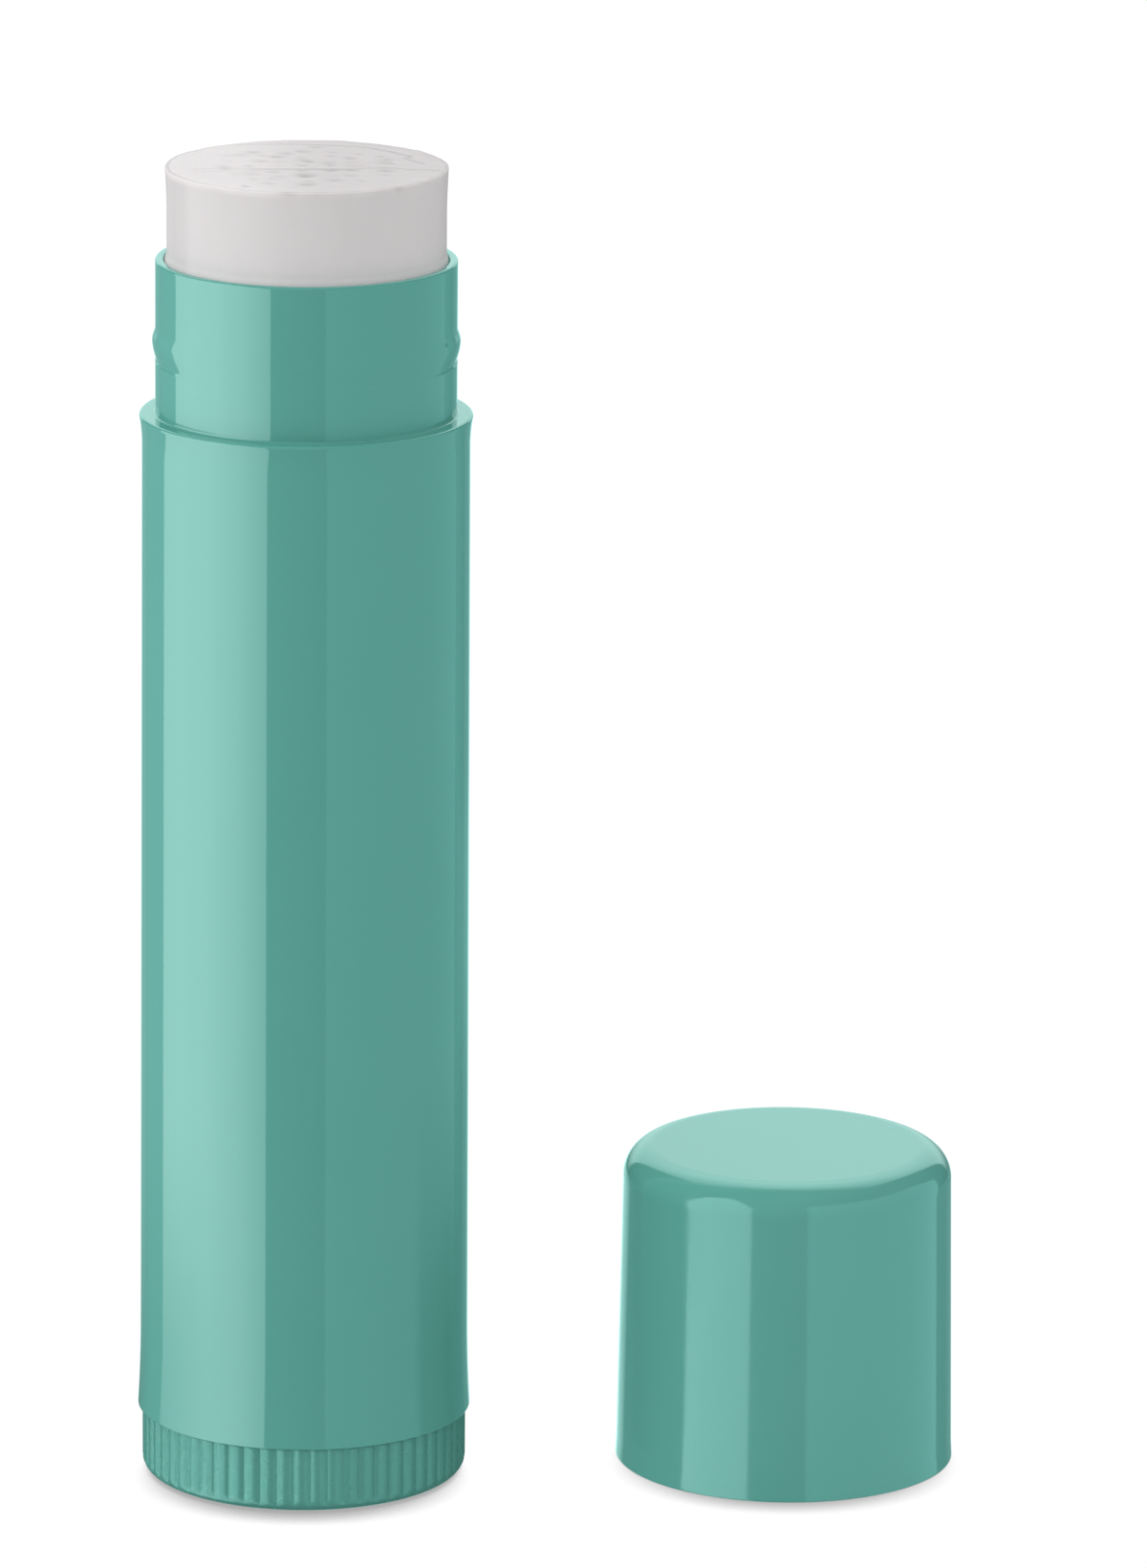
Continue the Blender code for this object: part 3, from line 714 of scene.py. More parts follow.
# %% Ribs, socket and slots
def wheel_grid():
    """Radius and height of the wheel's grid.

    Ribs: the radius drops by the square of the way from a rib's middle to the groove beside it,
    times a share that fades out near the foot.
    Socket: the radius shrinks to that of a hexagon, cosine of 30 degrees over cosine of the angle
    off the side's middle. Slots: the collar's rows sink nearly to the slot's foot, and its bead
    shrinks away.
    """
    outline = wheel_outline()
    radius, height = outline[:, :1], outline[:, 1:]
    angle = columns_round(WHEEL_COLUMNS)[None, :]

    rib = 2 * math.pi / WHEEL_RIBS
    off_rib = (np.mod(angle + rib / 2, rib) - rib / 2) / (rib / 2)
    outside = (radius > FACE_OUTSIDE) & (height <= WHEEL_FACE)
    fading = rise(height, RIB_FADE_TO, RIB_FADE_FROM - RIB_FADE_TO)
    ribbed = radius - RIB_DEPTH * off_rib**2 * fading * outside

    side = 2 * math.pi / SOCKET_SIDES
    off_side = np.mod(angle - side / 2, side) - side / 2
    hexagon = math.cos(side / 2) / np.cos(off_side)
    in_socket = (height > WHEEL_FLOOR) & (radius < HUB_RADIUS - SOCKET_BLEND)
    blend = in_socket * np.clip((SOCKET_RADIUS + SOCKET_BLEND - radius) / SOCKET_BLEND, 0, 1)
    ribbed = ribbed * (1 + blend * (hexagon - 1))

    half_slot = math.asin(SLOT_WIDTH / 2 / COLLAR_RADIUS)
    slot = rib_window(angle + math.pi / SLOTS, SLOTS, half_slot, SLOT_FLANK)
    on_collar = (radius > COLLAR_BORE - COLLAR_MARGIN) & (radius < SNAP_BEAD[2] + COLLAR_MARGIN)
    on_collar &= height > SLOT_FOOT
    sunk = np.where(on_collar, height - SLOT_SINK * slot * (height - SLOT_FOOT), height)
    ribbed = ribbed - on_collar * slot * np.clip(radius - COLLAR_RADIUS, 0, None)
    return ribbed, sunk


# %% Build the wheel
def make_wheel():
    """Turns the wheel's grid, with the socket's floor and the gate mark closed by poles."""
    radius, height = wheel_grid()
    wheel = grid_mesh("thumb_wheel", turned_points(radius, height + 0 * radius), poles=True)
    wheel.data.materials.append(wheel_plastic)
    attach(wheel, "drive")
    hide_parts("thumbwheel")
    return wheel


wheel = make_wheel()
print("thumbwheel:", len(wheel.data.polygons), "faces")

# %% [markdown]
# Screw and elevator
#
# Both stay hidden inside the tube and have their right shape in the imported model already, thread
# and all. They only get the uncoloured plastic they are moulded from.

# %% Dress the inner pieces
for name in ("screw_spindle", "elevator"):
    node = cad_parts[name]
    node.data.materials.clear()
    node.data.materials.append(natural)
    print(name, "is", natural.name)

# %% [markdown]
# The balm
#
# Wax shrinks as it sets: the top edge nearly keeps the bore's width, and below it the side draws in
# a little. Just inside the neck it is full again, so no dark gap shows at the rim. The top was
# handled after casting, so it has long scratches, a field of shallow dimples, some pits and dents,
# and a slightly wavy, chipped edge. The marks are taken off the height of the grid, and their
# places lie in the plane of the top: across and ahead as the camera sees them. The edge's waves go
# by the angle and come off both the radius and the height. From about 5 mm below the top down, the
# side has the grooves that the guide ribs leave, and the foot has the slot of the elevator's grip
# ring.

# %% Balm sizes
BALM_WAIST = 6.765
BALM_TOP_RADIUS = 6.86
BALM_EDGE = 0.06
BALM_WAIST_DEPTH = 2.4
BALM_SHRINK_DEPTH = 4.7
BALM_SWELL_DEPTH = 4.15
BALM_FULL_RADIUS = 6.87
BALM_SIDE_ROWS = 15
BALM_BORE = 2.35
BALM_BORE_TOP = 60.13
BALM_BORE_EDGE = 0.3
GRIP_SLOT = (4.1, 5.0, 3.1)
BALM_GROOVE_DEPTH = 0.53
BALM_GROOVE_WIDTH = 1.1
BALM_GROOVE_TOP = 60.28
BALM_GROOVE_END = 0.04
BALM_GROOVE_FROM = BALM_FULL_RADIUS - 0.1
BALM_COLUMNS = 400
TOP_ROWS = 96
TOP_SHARES = (0.02, 1)
TOP_INSET = 0.1
POLE = 0.3

# %% Sizes of the marks
# How far below the top, or inside its radius, a share starts to rise, and the length of its rise
EDGE_BELOW = (-0.8, 0.8)
EDGE_INSIDE = (-0.9, 0.8)
ON_TOP = (-0.3, 0.25)
RIM_BELOW = (-0.25, 0.15)
RIM_INSIDE = (-0.3, 0.2)
# The edge's waves, sideways and in height: how far, and their seed, slowest and fastest count
EDGE_WOBBLE = 0.025
WOBBLE_WAVES = (3, 3, 26)
EDGE_BURR = 0.045
BURR_WAVES = (8, 5, 40)
WAVE_STRENGTHS = (0.3, 1.0)

# Scratches as (across, ahead) points, with their half width and depth
SCRATCHES = [
    ([(-2.6, -0.85), (0.0, -0.75), (2.3, -0.7)], 0.18, 0.04),
    ([(-5.3, -0.95), (-2.6, -0.85)], 0.15, 0.018),
    ([(2.2, -0.65), (3.0, -0.35), (4.2, -0.3), (5.0, -0.65), (6.4, -0.8)], 0.15, 0.025),
    ([(-3.4, 5.5), (-1.0, 5.7), (1.0, 5.45), (2.2, 5.2), (3.0, 4.8)], 0.15, 0.03),
    ([(3.0, 4.8), (3.9, 4.0), (4.6, 3.2), (5.0, 2.9)], 0.15, 0.03),
    ([(5.0, 2.9), (4.8, 2.05), (5.6, 0.9)], 0.14, 0.022),
    ([(-5.2, -1.6), (-2.6, -1.5)], 0.15, 0.012),
]
# Pits, dents and chips of the edge as (across, ahead, half width, depth)
PITS = [
    (-2.7, -5.2, 0.20, 0.11),
    (4.15, 0.9, 0.16, 0.09),
    (0.05, -2.15, 0.50, 0.055),
    (-0.1, 1.55, 0.40, 0.035),
    (0.2, -4.5, 0.45, 0.035),
    (-1.7, -4.4, 0.35, 0.03),
    (-3.2, 2.8, 0.38, 0.035),
    (3.85, 1.9, 0.38, 0.035),
    (4.5, -5.1, 0.28, 0.04),
    (5.75, -3.6, 0.22, 0.03),
    (-0.7, -6.75, 0.35, 0.03),
]
# Dimples: spacing, steps to each side, half axes of their field, and the ranges of their draws
DIMPLE_STEP = 1.2
DIMPLE_STEPS = 4
DIMPLE_FIELD = (4.2, 4.9)
DIMPLE_SEED = 11
DIMPLE_JITTER = 0.36
DIMPLE_HALF_WIDTHS = (0.2, 0.42)
DIMPLE_DEPTHS = (0.015, 0.06)
# Painted shade, which is 1 where the wax has the darker grey: SHADE_DENT_DEPTH is the dent that gives 1,
# so dents and scratches look shaded, scratches more by SCRATCH_SHADE. The side, the top and the edge
# have painted shade of their own, the top's and the edge's change from left to right, and an upright
# stripe of the side has more
SHADE_DENT_DEPTH = 0.08
PAINTED_SHADE_SIDE = 0.95
PAINTED_SHADE_TOP = 0.62
PAINTED_SHADE_EDGE = (0.8, 0.45)
PAINTED_SHADE_EDGE_SPREAD = (-5.0, 1.5)
PAINTED_SHADE_TOP_SPREAD = (-4.6, 6.0)
PAINTED_SHADE_STRIPE = (-6.6, -6.3, -5.9, -5.4)
PAINTED_SHADE_STRIPE_SHARE = 0.2
SCRATCH_SHADE = 0.7


# %% Marks on the balm
def scratch(across, ahead, path, half_width, depth):
    """A trough along a path: depth x exp(-(distance / half width) squared), from the nearest piece.

    The nearest point of a piece lies at the share of its length that the line square to it gives,
    kept between 0 and 1.
    """
    nearest = np.full(across.shape, np.inf)
    for (ax, ay), (bx, by) in zip(path, path[1:]):
        length_squared = (bx - ax) ** 2 + (by - ay) ** 2
        along = (across - ax) * (bx - ax) + (ahead - ay) * (by - ay)
        share = np.clip(along / length_squared, 0, 1)
        off = np.hypot(across - ax - share * (bx - ax), ahead - ay - share * (by - ay))
        nearest = np.minimum(nearest, off)
    return depth * np.exp(-((nearest / half_width) ** 2))


def dimples(across, ahead):
    """Shallow round dents, depth x exp(-(distance / half width) squared), and the deepest one counts.

    They sit on a square pattern inside an oval field, each moved off its place at random.
    """
    random = np.random.default_rng(DIMPLE_SEED)
    steps = np.arange(-DIMPLE_STEPS, DIMPLE_STEPS + 1) * DIMPLE_STEP
    deepest = np.zeros(across.shape)
    for place_across in steps:
        for place_ahead in steps:
            move = random.uniform(-DIMPLE_JITTER, DIMPLE_JITTER, 2)
            half_width = random.uniform(*DIMPLE_HALF_WIDTHS)
            depth = random.uniform(*DIMPLE_DEPTHS)
            if math.hypot(place_across / DIMPLE_FIELD[0], place_ahead / DIMPLE_FIELD[1]) > 1:
                continue
            off = (across - place_across - move[0]) ** 2 + (ahead - place_ahead - move[1]) ** 2
            deepest = np.maximum(deepest, depth * np.exp(-off / half_width**2))
    return deepest


def ragged(angle, seed, slowest, fastest):
    """A closed wavy line round the axis: a sum of cosines, brought to the range from 0 to 1.

    Each has a whole number of waves, and a random strength over the root of that number.
    """
    random = np.random.default_rng(seed)
    waves = np.arange(slowest, fastest + 1)[:, None]
    phase = random.uniform(0, 2 * math.pi, waves.shape)
    size = random.uniform(*WAVE_STRENGTHS, waves.shape) / np.sqrt(waves)
    line = (size * np.cos(waves * angle + phase)).sum(0)
    return (line - line.min()) / (line.max() - line.min())


# %% Outline of the balm
def balm_outline():
    """From the top's middle over the edge, down the waisted side and up the blind bore."""
    ring_in, ring_out, ring_top = GRIP_SLOT
    across = np.linspace(*TOP_SHARES, TOP_ROWS) * (BALM_TOP_RADIUS - TOP_INSET)
    top = [(radius, BALM_TOP, 0) for radius in across]
    fade = np.linspace(0, 1, BALM_SIDE_ROWS)[1:, None]
    waist = np.hstack([
        BALM_WAIST + (BALM_TOP_RADIUS - BALM_WAIST) * (1 - fade) ** 2,
        BALM_TOP - BALM_WAIST_DEPTH * fade,
    ])
    swell = np.hstack([
        BALM_WAIST + (BALM_FULL_RADIUS - BALM_WAIST) * ease(fade),
        BALM_TOP - BALM_SWELL_DEPTH - (BALM_SHRINK_DEPTH - BALM_SWELL_DEPTH) * fade,
    ])
    low = [
        (BALM_FULL_RADIUS, BALM_GROOVE_TOP + BALM_GROOVE_END, 0),
        (BALM_FULL_RADIUS, BALM_GROOVE_TOP, 0),
        (BALM_FULL_RADIUS, BALM_FOOT, SMALL_EDGE),
        (ring_out, BALM_FOOT, 0),
        (ring_out, BALM_FOOT + ring_top, 0),
        (ring_in, BALM_FOOT + ring_top, 0),
        (ring_in, BALM_FOOT, 0),
        (BALM_BORE, BALM_FOOT, 0),
        (BALM_BORE, BALM_BORE_TOP, BALM_BORE_EDGE),
        (POLE, BALM_BORE_TOP, 0),
    ]
    edge = [(BALM_TOP_RADIUS, BALM_TOP, BALM_EDGE)]
    corners = np.vstack([top, edge, sharp(waist), sharp(swell), low])
    return filled(rounded(corners, steps=6), longest=1.2)


# %% Build the balm
def balm_grid():
    """Radius and height of the balm's grid, and the painted shade at each point.

    The guide ribs' grooves are taken off the radius, the marks off the height, and the edge's waves
    off both. Pits add to what is there; of dimples and scratches the deepest one counts. The painted
    shade is the side's, goes over to the top's where the face begins, and the edge's is added.
    """
    outline = balm_outline()
    angle = columns_round(BALM_COLUMNS)[None, :]
    radius, height = outline[:, :1] + 0 * angle, outline[:, 1:] + 0 * angle

    half_groove = math.asin(BALM_GROOVE_WIDTH / 2 / BALM_FULL_RADIUS)
    grooves = rib_window(angle, GUIDE_RIBS, half_groove, GUIDE_RIB_FLANK)
    on_side = (radius > BALM_GROOVE_FROM) & (height < BALM_GROOVE_TOP + BALM_GROOVE_END / 2)
    radius = radius - BALM_GROOVE_DEPTH * grooves * on_side

    near_edge = rise(height - BALM_TOP, *EDGE_BELOW) * rise(radius - BALM_TOP_RADIUS, *EDGE_INSIDE)
    radius = radius - EDGE_WOBBLE * near_edge * ragged(angle, *WOBBLE_WAVES)
    x, y = radius * np.cos(angle), radius * np.sin(angle)
    across = x * ACROSS.x + y * ACROSS.y
    ahead = x * AHEAD.x + y * AHEAD.y
    dents = dimples(across, ahead)
    scratch_shade = 0 * dents
    for path, half_width, depth in SCRATCHES:
        trough = scratch(across, ahead, path, half_width, depth)
        dents = np.maximum(dents, trough)
        scratch_shade = np.maximum(scratch_shade, trough * SCRATCH_SHADE)
    for place_across, place_ahead, half_width, depth in PITS:
        off = (across - place_across) ** 2 + (ahead - place_ahead) ** 2
        dents = dents + depth * np.exp(-off / half_width**2)
    on_top = rise(height - BALM_TOP, *ON_TOP)
    height = height - on_top * dents - EDGE_BURR * near_edge * ragged(angle, *BURR_WAVES)

    # Painted shade: dents and scratches, the side and an upright stripe of it, the edge (more on the left),
    # and the top towards the right are darker
    top_shade = (dents + scratch_shade) / SHADE_DENT_DEPTH + PAINTED_SHADE_TOP * rise(across, *PAINTED_SHADE_TOP_SPREAD)
    on_edge = rise(height - BALM_TOP, *RIM_BELOW) * rise(radius - BALM_TOP_RADIUS, *RIM_INSIDE)
    side_shade = PAINTED_SHADE_SIDE + PAINTED_SHADE_STRIPE_SHARE * window(across, *PAINTED_SHADE_STRIPE) * (ahead < 0)
    edge_shade = np.interp(across, PAINTED_SHADE_EDGE_SPREAD, PAINTED_SHADE_EDGE)
    painted_darkness = side_shade + (top_shade - side_shade) * on_top + edge_shade * on_edge
    return radius, height, painted_darkness


def make_balm():
    """Turns the balm's grid and stores its painted shade; the two last values are the poles'."""
    radius, height, painted_darkness = balm_grid()
    balm = grid_mesh("cast_balm", turned_points(radius, height), poles=True)
    # The share of painted shade is stored at the points
    marks = balm.data.attributes.new("painted_shade", "FLOAT", "POINT")
    marks.data.foreach_set("value", np.append(painted_darkness, [painted_darkness[0].mean(), PAINTED_SHADE_SIDE]))
    balm.data.materials.append(wax)
    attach(balm, "carriage")
    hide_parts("balm")
    return balm


balm = make_balm()
print("balm:", len(balm.data.polygons), "faces")

# %% [markdown]
# The cap
#
# A drafted cup with a generous rounding at its closed end and a thin lip at its mouth. Inside, a
# shallow groove meets the neck's bead. It stands on its mouth beside the stick, so only the outside
# shows until the cap is lifted.

# %% Cap sizes
CAP_TOP_RADIUS = 8.14
CAP_FOOT_RADIUS = 8.36
CAP_LIP = 0.04
CAP_LIP_HEIGHT = 0.8
CAP_LIP_ROUNDING = 0.5
CAP_FILLET = 1.56
CAP_FILLET_ROWS = 25
CAP_LIP_EDGE = 0.07
CAP_MOUTH = 7.555
CAP_GRIP = 7.425
CAP_ROOF = 1.3
CAP_CEILING = CAP_TOP - CAP_ROOF
CAP_INNER_FILLET = 0.5
CAP_GROOVE = (2.45, 3.55, 4.65, 7.755)
CAP_GROOVE_ROUNDING = 0.3
CAP_COLUMNS = 384


# %% Build the cap
def cap_outline():
    """From the top's middle over the rounding, down the drafted wall and up inside to the ceiling."""
    swing = np.radians(np.linspace(90, 0, CAP_FILLET_ROWS))
    across = CAP_TOP_RADIUS - CAP_FILLET + CAP_FILLET * np.cos(swing)
    fillet = np.stack([across, CAP_TOP - CAP_FILLET + CAP_FILLET * np.sin(swing)], axis=-1)
    low, crest, high, groove_radius = CAP_GROOVE
    wall = [
        (CAP_FOOT_RADIUS, CAP_LIP_HEIGHT, CAP_LIP_ROUNDING),
        (CAP_FOOT_RADIUS + CAP_LIP, 0, CAP_LIP_EDGE),
        (CAP_MOUTH, 0, CAP_LIP_EDGE),
        (CAP_MOUTH, low, 0),
        (groove_radius, crest, CAP_GROOVE_ROUNDING),
        (CAP_MOUTH, high, 0),
        (CAP_GRIP, CAP_CEILING, CAP_INNER_FILLET),
        (POLE, CAP_CEILING, 0),
    ]
    return filled(rounded(np.vstack([[(POLE, CAP_TOP, 0)], sharp(fillet), wall])))


def make_cap():
    """Turns the cap's outline round its own axis, with its top and its ceiling closed by poles."""
    outline = cap_outline()
    columns = np.zeros((1, CAP_COLUMNS))
    points = turned_points(outline[:, :1] + columns, outline[:, 1:] + columns, CAP_PLACE)
    cap = grid_mesh("push_on_cap", points, poles=True)
    cap.data.materials.append(cap_plastic)
    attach(cap, "cap")
    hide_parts("cap")
    return cap


cap = make_cap()
print("cap:", len(cap.data.polygons), "faces")

# %% [markdown]
# The studio
#
# The photo's studio isn't known. Its reflections are such as two large softboxes would give, a
# bright one on the left and a weaker one on the right, in front of a white backdrop, so these were
# fitted to it. Glossy plastic is a dark mirror: what gives it its look are the straight-edged
# reflections of such panels. So the panels are real surfaces here, a good metre away, each a piece
# of a big sphere, and only reflections see them. They reach below the ground's level, because an
# upright wall that is seen from above mirrors what lies below the horizon. The photo's highlights
# are tinted like the plastic, even at the edges where plastic can't tint them, so the panels carry
# that tint.
#
# Tube, wheel and cap each show slightly different panels, so each has its own set, kept apart by
# light linking. A panel that stands in front of another one would still hide it, so all of them are
# see-through, and their light adds up. The matt balm gets none and takes only the even light and
# the key light.

# %% Panel values
PANEL_DISTANCE = 1300.0
PANEL_STEP = 10.0
PANEL_LOWEST = -60.0
PANEL_ROWS = 40
PANEL_COLUMNS = 64
PANEL_TINT = (1.0, 0.95, 1.0)
BACKDROP_DISTANCE = 1250.0
BACKDROP_WIDTH = 1400.0
BACKDROP_SPAN = (-50.0, 88.0)
BACKDROP_LOW_GLOW = 0.10
BACKDROP_FLOOR_GLOW = 0.9
BACKDROP_FLOOR_WIDTH = 0.6
BACKDROP_GLOW = 1.5
BACKDROP_RED = 0.70
OVERHEAD_GLOW = 3.1
# Angles above the horizon, in degrees: where a change begins, and how far it goes on
BACKDROP_RISE = (-8, 20)
OVERHEAD_RISE = (18, 32)
BACKDROP_END = (62, 24)


# %% Materials for reflections
def emitter(name, red):
    """See-through and glowing by the share stored at the mesh's points, tinted like the plastic."""
    material, tree = new_material(name, bare=True)
    glow = add(tree, "ShaderNodeAttribute", attribute_name="share")
    tint = (red, *PANEL_TINT)
    light = add(tree, "ShaderNodeEmission", {"Color": tint, "Strength": glow.outputs["Fac"]})
    clear = add(tree, "ShaderNodeBsdfTransparent")
    both = add(tree, "ShaderNodeAddShader", {0: light.outputs["Emission"], 1: clear.outputs["BSDF"]})
    add(tree, "ShaderNodeOutputMaterial", {"Surface": both.outputs["Shader"]})
    material.cycles.emission_sampling = "NONE"
    return material


def smoked(name):
    """See-through, letting through the share of the light stored at the mesh's points."""
    material, tree = new_material(name, bare=True)
    share = add(tree, "ShaderNodeAttribute", attribute_name="share")
    clear = add(tree, "ShaderNodeBsdfTransparent", {"Color": share.outputs["Color"]})
    add(tree, "ShaderNodeOutputMaterial", {"Surface": clear.outputs["BSDF"]})
    return material


# %% Sheets, softboxes and backdrop
def sheet(name, pieces, points, material, shares):
    """A sheet that only the reflections on some pieces see, with a share stored at each point."""
    obj = grid_mesh(name, points, turned=False)
    layer = obj.data.attributes.new("share", "FLOAT", "POINT")
    layer.data.foreach_set("value", shares.ravel())
    obj.data.materials.append(material)
    obj.visible_camera = False
    obj.visible_diffuse = False
    obj.visible_transmission = False
    obj.visible_volume_scatter = False
    obj.visible_shadow = False
    obj.light_linking.receiver_collection = pieces
    return obj


def toward(azimuth):
    """Level unit vectors at azimuths in degrees, counted from the camera, the left ones negative."""
    turn = np.radians(azimuth)[..., None]
    return -np.cos(turn) * np.array(AHEAD) + np.sin(turn) * np.array(ACROSS)


def evenly(share, values):
    """Values that lie evenly spaced from share 0 to share 1, joined by straight lines."""
    return np.interp(share, np.linspace(0, 1, len(values)), values)


def softbox(name, pieces, distance, sides, tops, glows, red):
    """A panel on a big sphere, between two azimuths and from low down up to its top edge.

    The heights of the top edge, in degrees, and the glows lie evenly spaced from left to right.
    """
    share = np.linspace(0, 1, PANEL_COLUMNS)[None, :]
    climb = np.linspace(0, 1, PANEL_ROWS)[:, None]
    azimuth = sides[0] + (sides[1] - sides[0]) * share + 0 * climb
    elevation = np.radians(PANEL_LOWEST + (evenly(share, tops) - PANEL_LOWEST) * climb)[..., None]
    points = distance * (np.cos(elevation) * toward(azimuth) + np.sin(elevation) * np.array(UP))
    return sheet(name, pieces, points, emitter(name, red), evenly(share, glows) + 0 * climb)


def backdrop(name, pieces):
    """A white sweep behind the set that curves up overhead and is brightest where the top light is.

    Points lie at across = half the width x share from -1 to 1, and on a circle in the upright
    plane that runs away from the camera, at an angle above the horizon. Low down the middle glows
    far more than the sides. Higher up the glow evens out, grows overhead in the middle, and ends.
    """
    share = np.linspace(-1, 1, PANEL_COLUMNS)[None, :]
    degrees = np.linspace(*BACKDROP_SPAN, PANEL_ROWS * 2)[:, None]
    angle = np.radians(degrees)
    across = (BACKDROP_WIDTH / 2 * share + 0 * angle)[..., None] * np.array(ACROSS)
    upright = np.cos(angle)[..., None] * np.array(AHEAD) + np.sin(angle)[..., None] * np.array(UP)
    middle = ease(1 - np.abs(share) / BACKDROP_FLOOR_WIDTH)
    low = BACKDROP_LOW_GLOW + (BACKDROP_FLOOR_GLOW - BACKDROP_LOW_GLOW) * middle
    glow = low + (BACKDROP_GLOW - low) * rise(degrees, *BACKDROP_RISE)
    overhead = OVERHEAD_GLOW - BACKDROP_GLOW
    glow = glow + overhead * rise(degrees, *OVERHEAD_RISE) * (1 - share**2)
    glow = glow * (1 - rise(degrees, *BACKDROP_END))
    points = across + BACKDROP_DISTANCE * upright
    return sheet(name, pieces, points, emitter(name, BACKDROP_RED), glow)


# %% Set up the panels
def seen_by(*pieces):
    """The group of pieces that mirror a panel."""
    group = bpy.data.collections.new("seen_by_" + pieces[0].name)
    for piece in pieces:
        group.objects.link(piece)
    return group


on_tube, on_wheel, on_cap = seen_by(tube), seen_by(wheel), seen_by(cap)
on_plastic = seen_by(tube, wheel, cap)

# Name, pieces, left and right side, heights of the top edge, glows, share of red
PANELS = (
    ("tube_left_softbox", on_tube, (-117, -25.7), (12, 34, 42, 34, 12), (2.6, 4.4, 5.4, 4.7, 2.9), 0.72),
    ("tube_left_fill", on_tube, (-180, -117), (4, 4), (0.3, 0.45, 0.72), 0.50),
    ("tube_right_softbox", on_tube, (16, 132), (0, 18, 24, 18, 0), (0.75, 0.78, 0.8), 0.40),
    ("tube_right_fill", on_tube, (132, 180), (4, 4), (0.5, 0.3, 0.34, 0.5), 0.34),
    ("cap_left_softbox", on_cap, (-74, -24.5), (15, 38, 45, 47, 44, 36, 22), (3.9, 3.5, 3.1), 0.61),
    ("cap_left_fill", on_cap, (-180, -147), (-7, -7), (0.7, 1.0, 1.0, 0.6), 0.55),
    ("cap_left_haze", on_cap, (-147, -74), (-7, -7), (0.3, 0.12, 0.0), 0.42),
    ("cap_right_softbox", on_cap, (14.8, 128), (33, 35, 34, 33, 31, 28, 12), (1.2, 1.2), 0.42),
    ("cap_right_fill", on_cap, (128, 180), (-7, -7), (0.25, 0.25), 0.42),
    ("wheel_left_softbox", on_wheel, (-116, -27), (12, 30, 36, 30, 12), (2.4, 3.6, 2.6, 3.4), 0.62),
    ("wheel_right_softbox", on_wheel, (20, 84), (0, 14, 18, 14, 0), (1.4, 0.8), 0.45),
)
for number, (name, pieces, *values) in enumerate(PANELS):
    softbox(name, pieces, PANEL_DISTANCE + number * PANEL_STEP, *values)
backdrop("backdrop", on_plastic)
print(len(PANELS), "panels stand", PANEL_DISTANCE, "mm away and more")

# %% [markdown]
# The floor's reflections
#
# An upright wall seen from above also mirrors the floor close by. In the photo it looks as if the
# stick shaded the floor on its left, which dims the lower end of the softbox's reflection there,
# and as if the floor far behind it on the right were lighter. Two thin sheets just above the floor
# do this: one is smoked glass, the other one glows. On the right the stick's foot would mirror the
# cap, but in the photo it only darkens evenly downwards, without the cap's outline in it. So the
# cap isn't mirrored, and a smoked screen bent round the stick takes its place. Again only
# reflections see all three.

# %% Sizes of the floor's reflections
# Azimuths in degrees from the camera, and distances from the stick's axis in millimetres
SMOKE_HEIGHT = 0.05
SMOKE_REACH = (8.5, 90.0)
SMOKE_FADE = (5.0, 80.0)
SMOKE_DEPTH = 0.62
SMOKE_LEFT = (-175, -130, -105, -25)
SHEEN_HEIGHT = 0.08
SHEEN_REACH = (60.0, 160.0)
SHEEN_SIDES = (131, 180)
SHEEN_SIDE_FADE = 4
SHEEN_RINGS = (65, 105, 120, 155)
SHEEN_GLOW = 0.13
SHEEN_RED = 0.42
SCREEN_FOOT = 0.1
SCREEN_RADIUS = 12.5
SCREEN_SIDES = (58, 66, 88, 112)
SCREEN_FADE = (3.5, 22.0)


# %% Floor sheets and screen
def floor_sheets():
    """Flat ring pieces round the stick's axis; their shares are windows in azimuth and distance."""
    azimuth = np.linspace(-180, 180, 4 * PANEL_COLUMNS)[None, :]
    distance = np.linspace(*SMOKE_REACH, PANEL_ROWS)[:, None]
    points = distance[..., None] * toward(azimuth) + SMOKE_HEIGHT * np.array(UP)
    near = 1 - rise(distance, SMOKE_FADE[0], SMOKE_FADE[1] - SMOKE_FADE[0])
    clear = 1 - SMOKE_DEPTH * window(azimuth, *SMOKE_LEFT) * near
    sheet("floor_shade", on_tube, points, smoked("floor_shade"), clear)

    azimuth = np.linspace(*SHEEN_SIDES, PANEL_COLUMNS)[None, :]
    distance = np.linspace(*SHEEN_REACH, PANEL_ROWS)[:, None]
    points = distance[..., None] * toward(azimuth) + SHEEN_HEIGHT * np.array(UP)
    inward = rise(azimuth, SHEEN_SIDES[0], SHEEN_SIDE_FADE)
    glow = SHEEN_GLOW * window(distance, *SHEEN_RINGS) * inward
    sheet("floor_sheen", on_tube, points, emitter("floor_sheen", SHEEN_RED), glow)


# The screen paints shade into the stick's reflections where the cap would be mirrored
def screen():
    """Part of a cylinder round the stick's axis, dark at its foot and fading out towards its top."""
    azimuth = np.linspace(SCREEN_SIDES[0], SCREEN_SIDES[-1], PANEL_COLUMNS)[None, :]
    height = np.linspace(SCREEN_FOOT, SCREEN_FADE[1], PANEL_ROWS)[:, None]
    points = SCREEN_RADIUS * toward(azimuth) + height[..., None] * np.array(UP)
    low = 1 - rise(height, SCREEN_FADE[0], SCREEN_FADE[1] - SCREEN_FADE[0])
    clear = 1 - window(azimuth, *SCREEN_SIDES) * low
    sheet("gap_shade_screen", on_tube, points, smoked("gap_shade_screen"), clear)


floor_sheets()
screen()
cap.visible_glossy = False
print("floor's reflections: floor_shade, floor_sheen and gap_shade_screen")

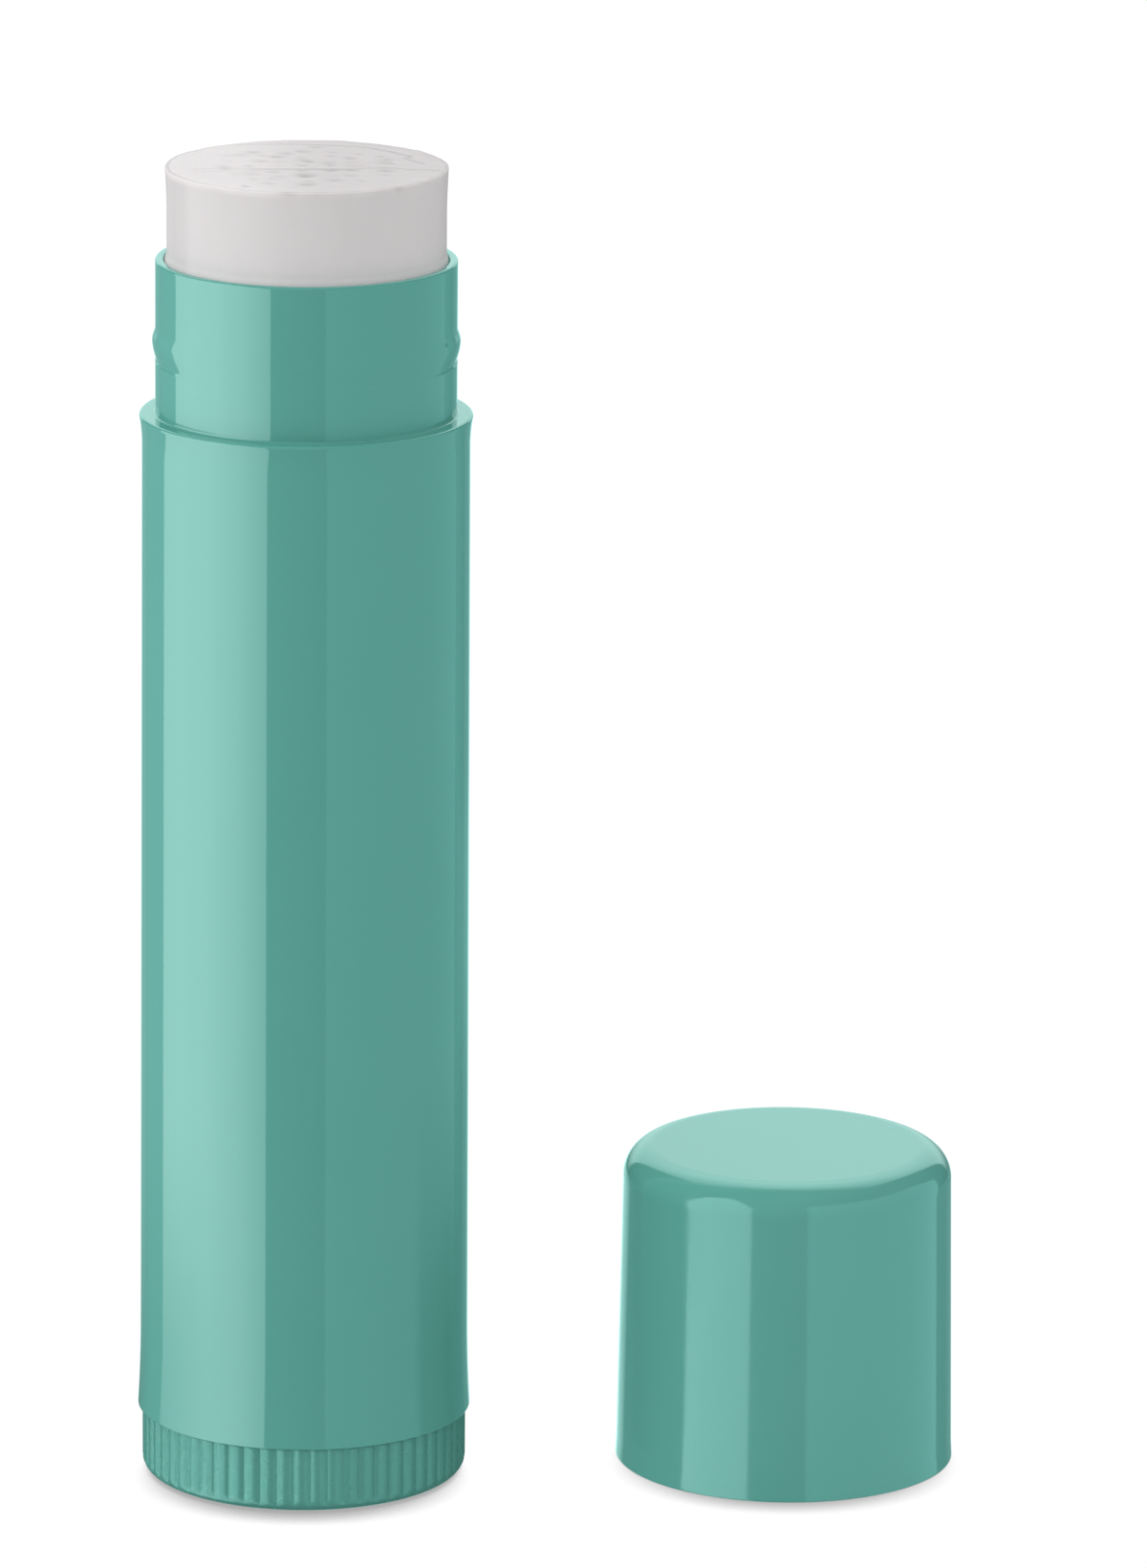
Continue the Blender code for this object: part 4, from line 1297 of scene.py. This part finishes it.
# %% [markdown]
# The ground and the even light
#
# The photo's ground is pure white, up to a thin soft shadow where the pieces touch it. An evenly
# lit sheet of paper that is overexposed does almost the same, but its shadow would be too wide.
# So the camera sees a glowing white that darkens only where something stands within a few
# millimetres, measured by ambient occlusion. The occlusion looks backwards and up, so the shadow
# lies in front only. The pieces are lit from below as by pale paper that glows a little, and
# reflections see neither the ground nor the even light.

# %% Ground and world values
GROUND_SIZE = 6000.0
GROUND_FOR_PIECES = 0.6
GROUND_GLOW = 0.15
CONTACT_REACH = 3.4
CONTACT_LEAN = math.radians(55)
CONTACT_OPEN = (0.32, 0.66)
CONTACT_SHADE = (0.40, 1.04)
CONTACT_SAMPLES = 12
WORLD_LIGHT = 0.89
KEY_POWER = 3.2
KEY_SIZE = 900.0
KEY_DISTANCE = 900.0
KEY_ACROSS = -0.95
KEY_AHEAD = -0.25
KEY_UP = 0.55


# %% Ground, world and key light
def make_ground():
    """A square of ground that the camera sees as glowing white and the pieces as pale paper."""
    half = GROUND_SIZE / 2
    corners = np.array([[[-half, -half, 0], [half, -half, 0]], [[-half, half, 0], [half, half, 0]]])
    ground = grid_mesh("ground", corners[::-1], turned=False)
    material, tree = new_material("white_ground", bare=True)
    lean = AHEAD * math.sin(CONTACT_LEAN) + UP * math.cos(CONTACT_LEAN)
    backwards = add(tree, "ShaderNodeCombineXYZ", {"X": lean.x, "Y": lean.y, "Z": lean.z})
    near = add(
        tree,
        "ShaderNodeAmbientOcclusion",
        {"Distance": CONTACT_REACH * MM, "Normal": backwards.outputs["Vector"]},
        samples=CONTACT_SAMPLES,
    )
    shade = add(
        tree,
        "ShaderNodeMapRange",
        {
            "Value": near.outputs["AO"],
            "From Min": CONTACT_OPEN[0],
            "From Max": CONTACT_OPEN[1],
            "To Min": CONTACT_SHADE[0],
            "To Max": CONTACT_SHADE[1],
        },
    )
    seen = add(tree, "ShaderNodeEmission", {"Strength": shade.outputs["Result"]})
    paper = add(tree, "ShaderNodeBsdfDiffuse", {"Color": (GROUND_FOR_PIECES,) * 3 + (1.0,)})
    lit = add(tree, "ShaderNodeEmission", {"Strength": GROUND_GLOW})
    felt = add(tree, "ShaderNodeAddShader", {0: paper.outputs["BSDF"], 1: lit.outputs["Emission"]})
    ray = add(tree, "ShaderNodeLightPath")
    both = add(
        tree,
        "ShaderNodeMixShader",
        {0: ray.outputs["Is Camera Ray"], 1: felt.outputs["Shader"], 2: seen.outputs["Emission"]},
    )
    add(tree, "ShaderNodeOutputMaterial", {"Surface": both.outputs["Shader"]})
    material.cycles.emission_sampling = "NONE"
    ground.data.materials.append(material)
    ground.visible_glossy = False
    return ground


def make_world():
    """Even white light all round that isn't mirrored, as white as the ground where the camera sees it."""
    world = bpy.data.worlds.new("white_studio")
    world.use_nodes = True
    tree = world.node_tree
    ray = add(tree, "ShaderNodeLightPath")
    white = add(
        tree,
        "ShaderNodeMapRange",
        {"Value": ray.outputs["Is Camera Ray"], "To Min": WORLD_LIGHT, "To Max": CONTACT_SHADE[1]},
    )
    tree.links.new(white.outputs["Result"], tree.nodes["Background"].inputs["Strength"])
    tree.nodes["Background"].inputs["Color"].default_value = (1, 1, 1, 1)
    world.cycles_visibility.glossy = False
    bpy.context.scene.world = world


def make_key():
    """A large soft light on the left that casts no shadow and isn't mirrored."""
    data = bpy.data.lights.new("key", "AREA")
    data.shape = "DISK"
    data.size = KEY_SIZE * MM
    data.energy = KEY_POWER
    key = bpy.data.objects.new("key", data)
    bpy.context.scene.collection.objects.link(key)
    direction = ACROSS * KEY_ACROSS + AHEAD * KEY_AHEAD + UP * KEY_UP
    place = direction.normalized() * (KEY_DISTANCE * MM)
    key.location = place
    key.rotation_euler = (-place).to_track_quat("-Z", "Y").to_euler()
    key.visible_glossy = False
    key.visible_camera = False
    data.use_shadow = False


make_ground()
make_world()
make_key()
print("ground", GROUND_SIZE, "mm wide, key light", KEY_SIZE, "mm wide")
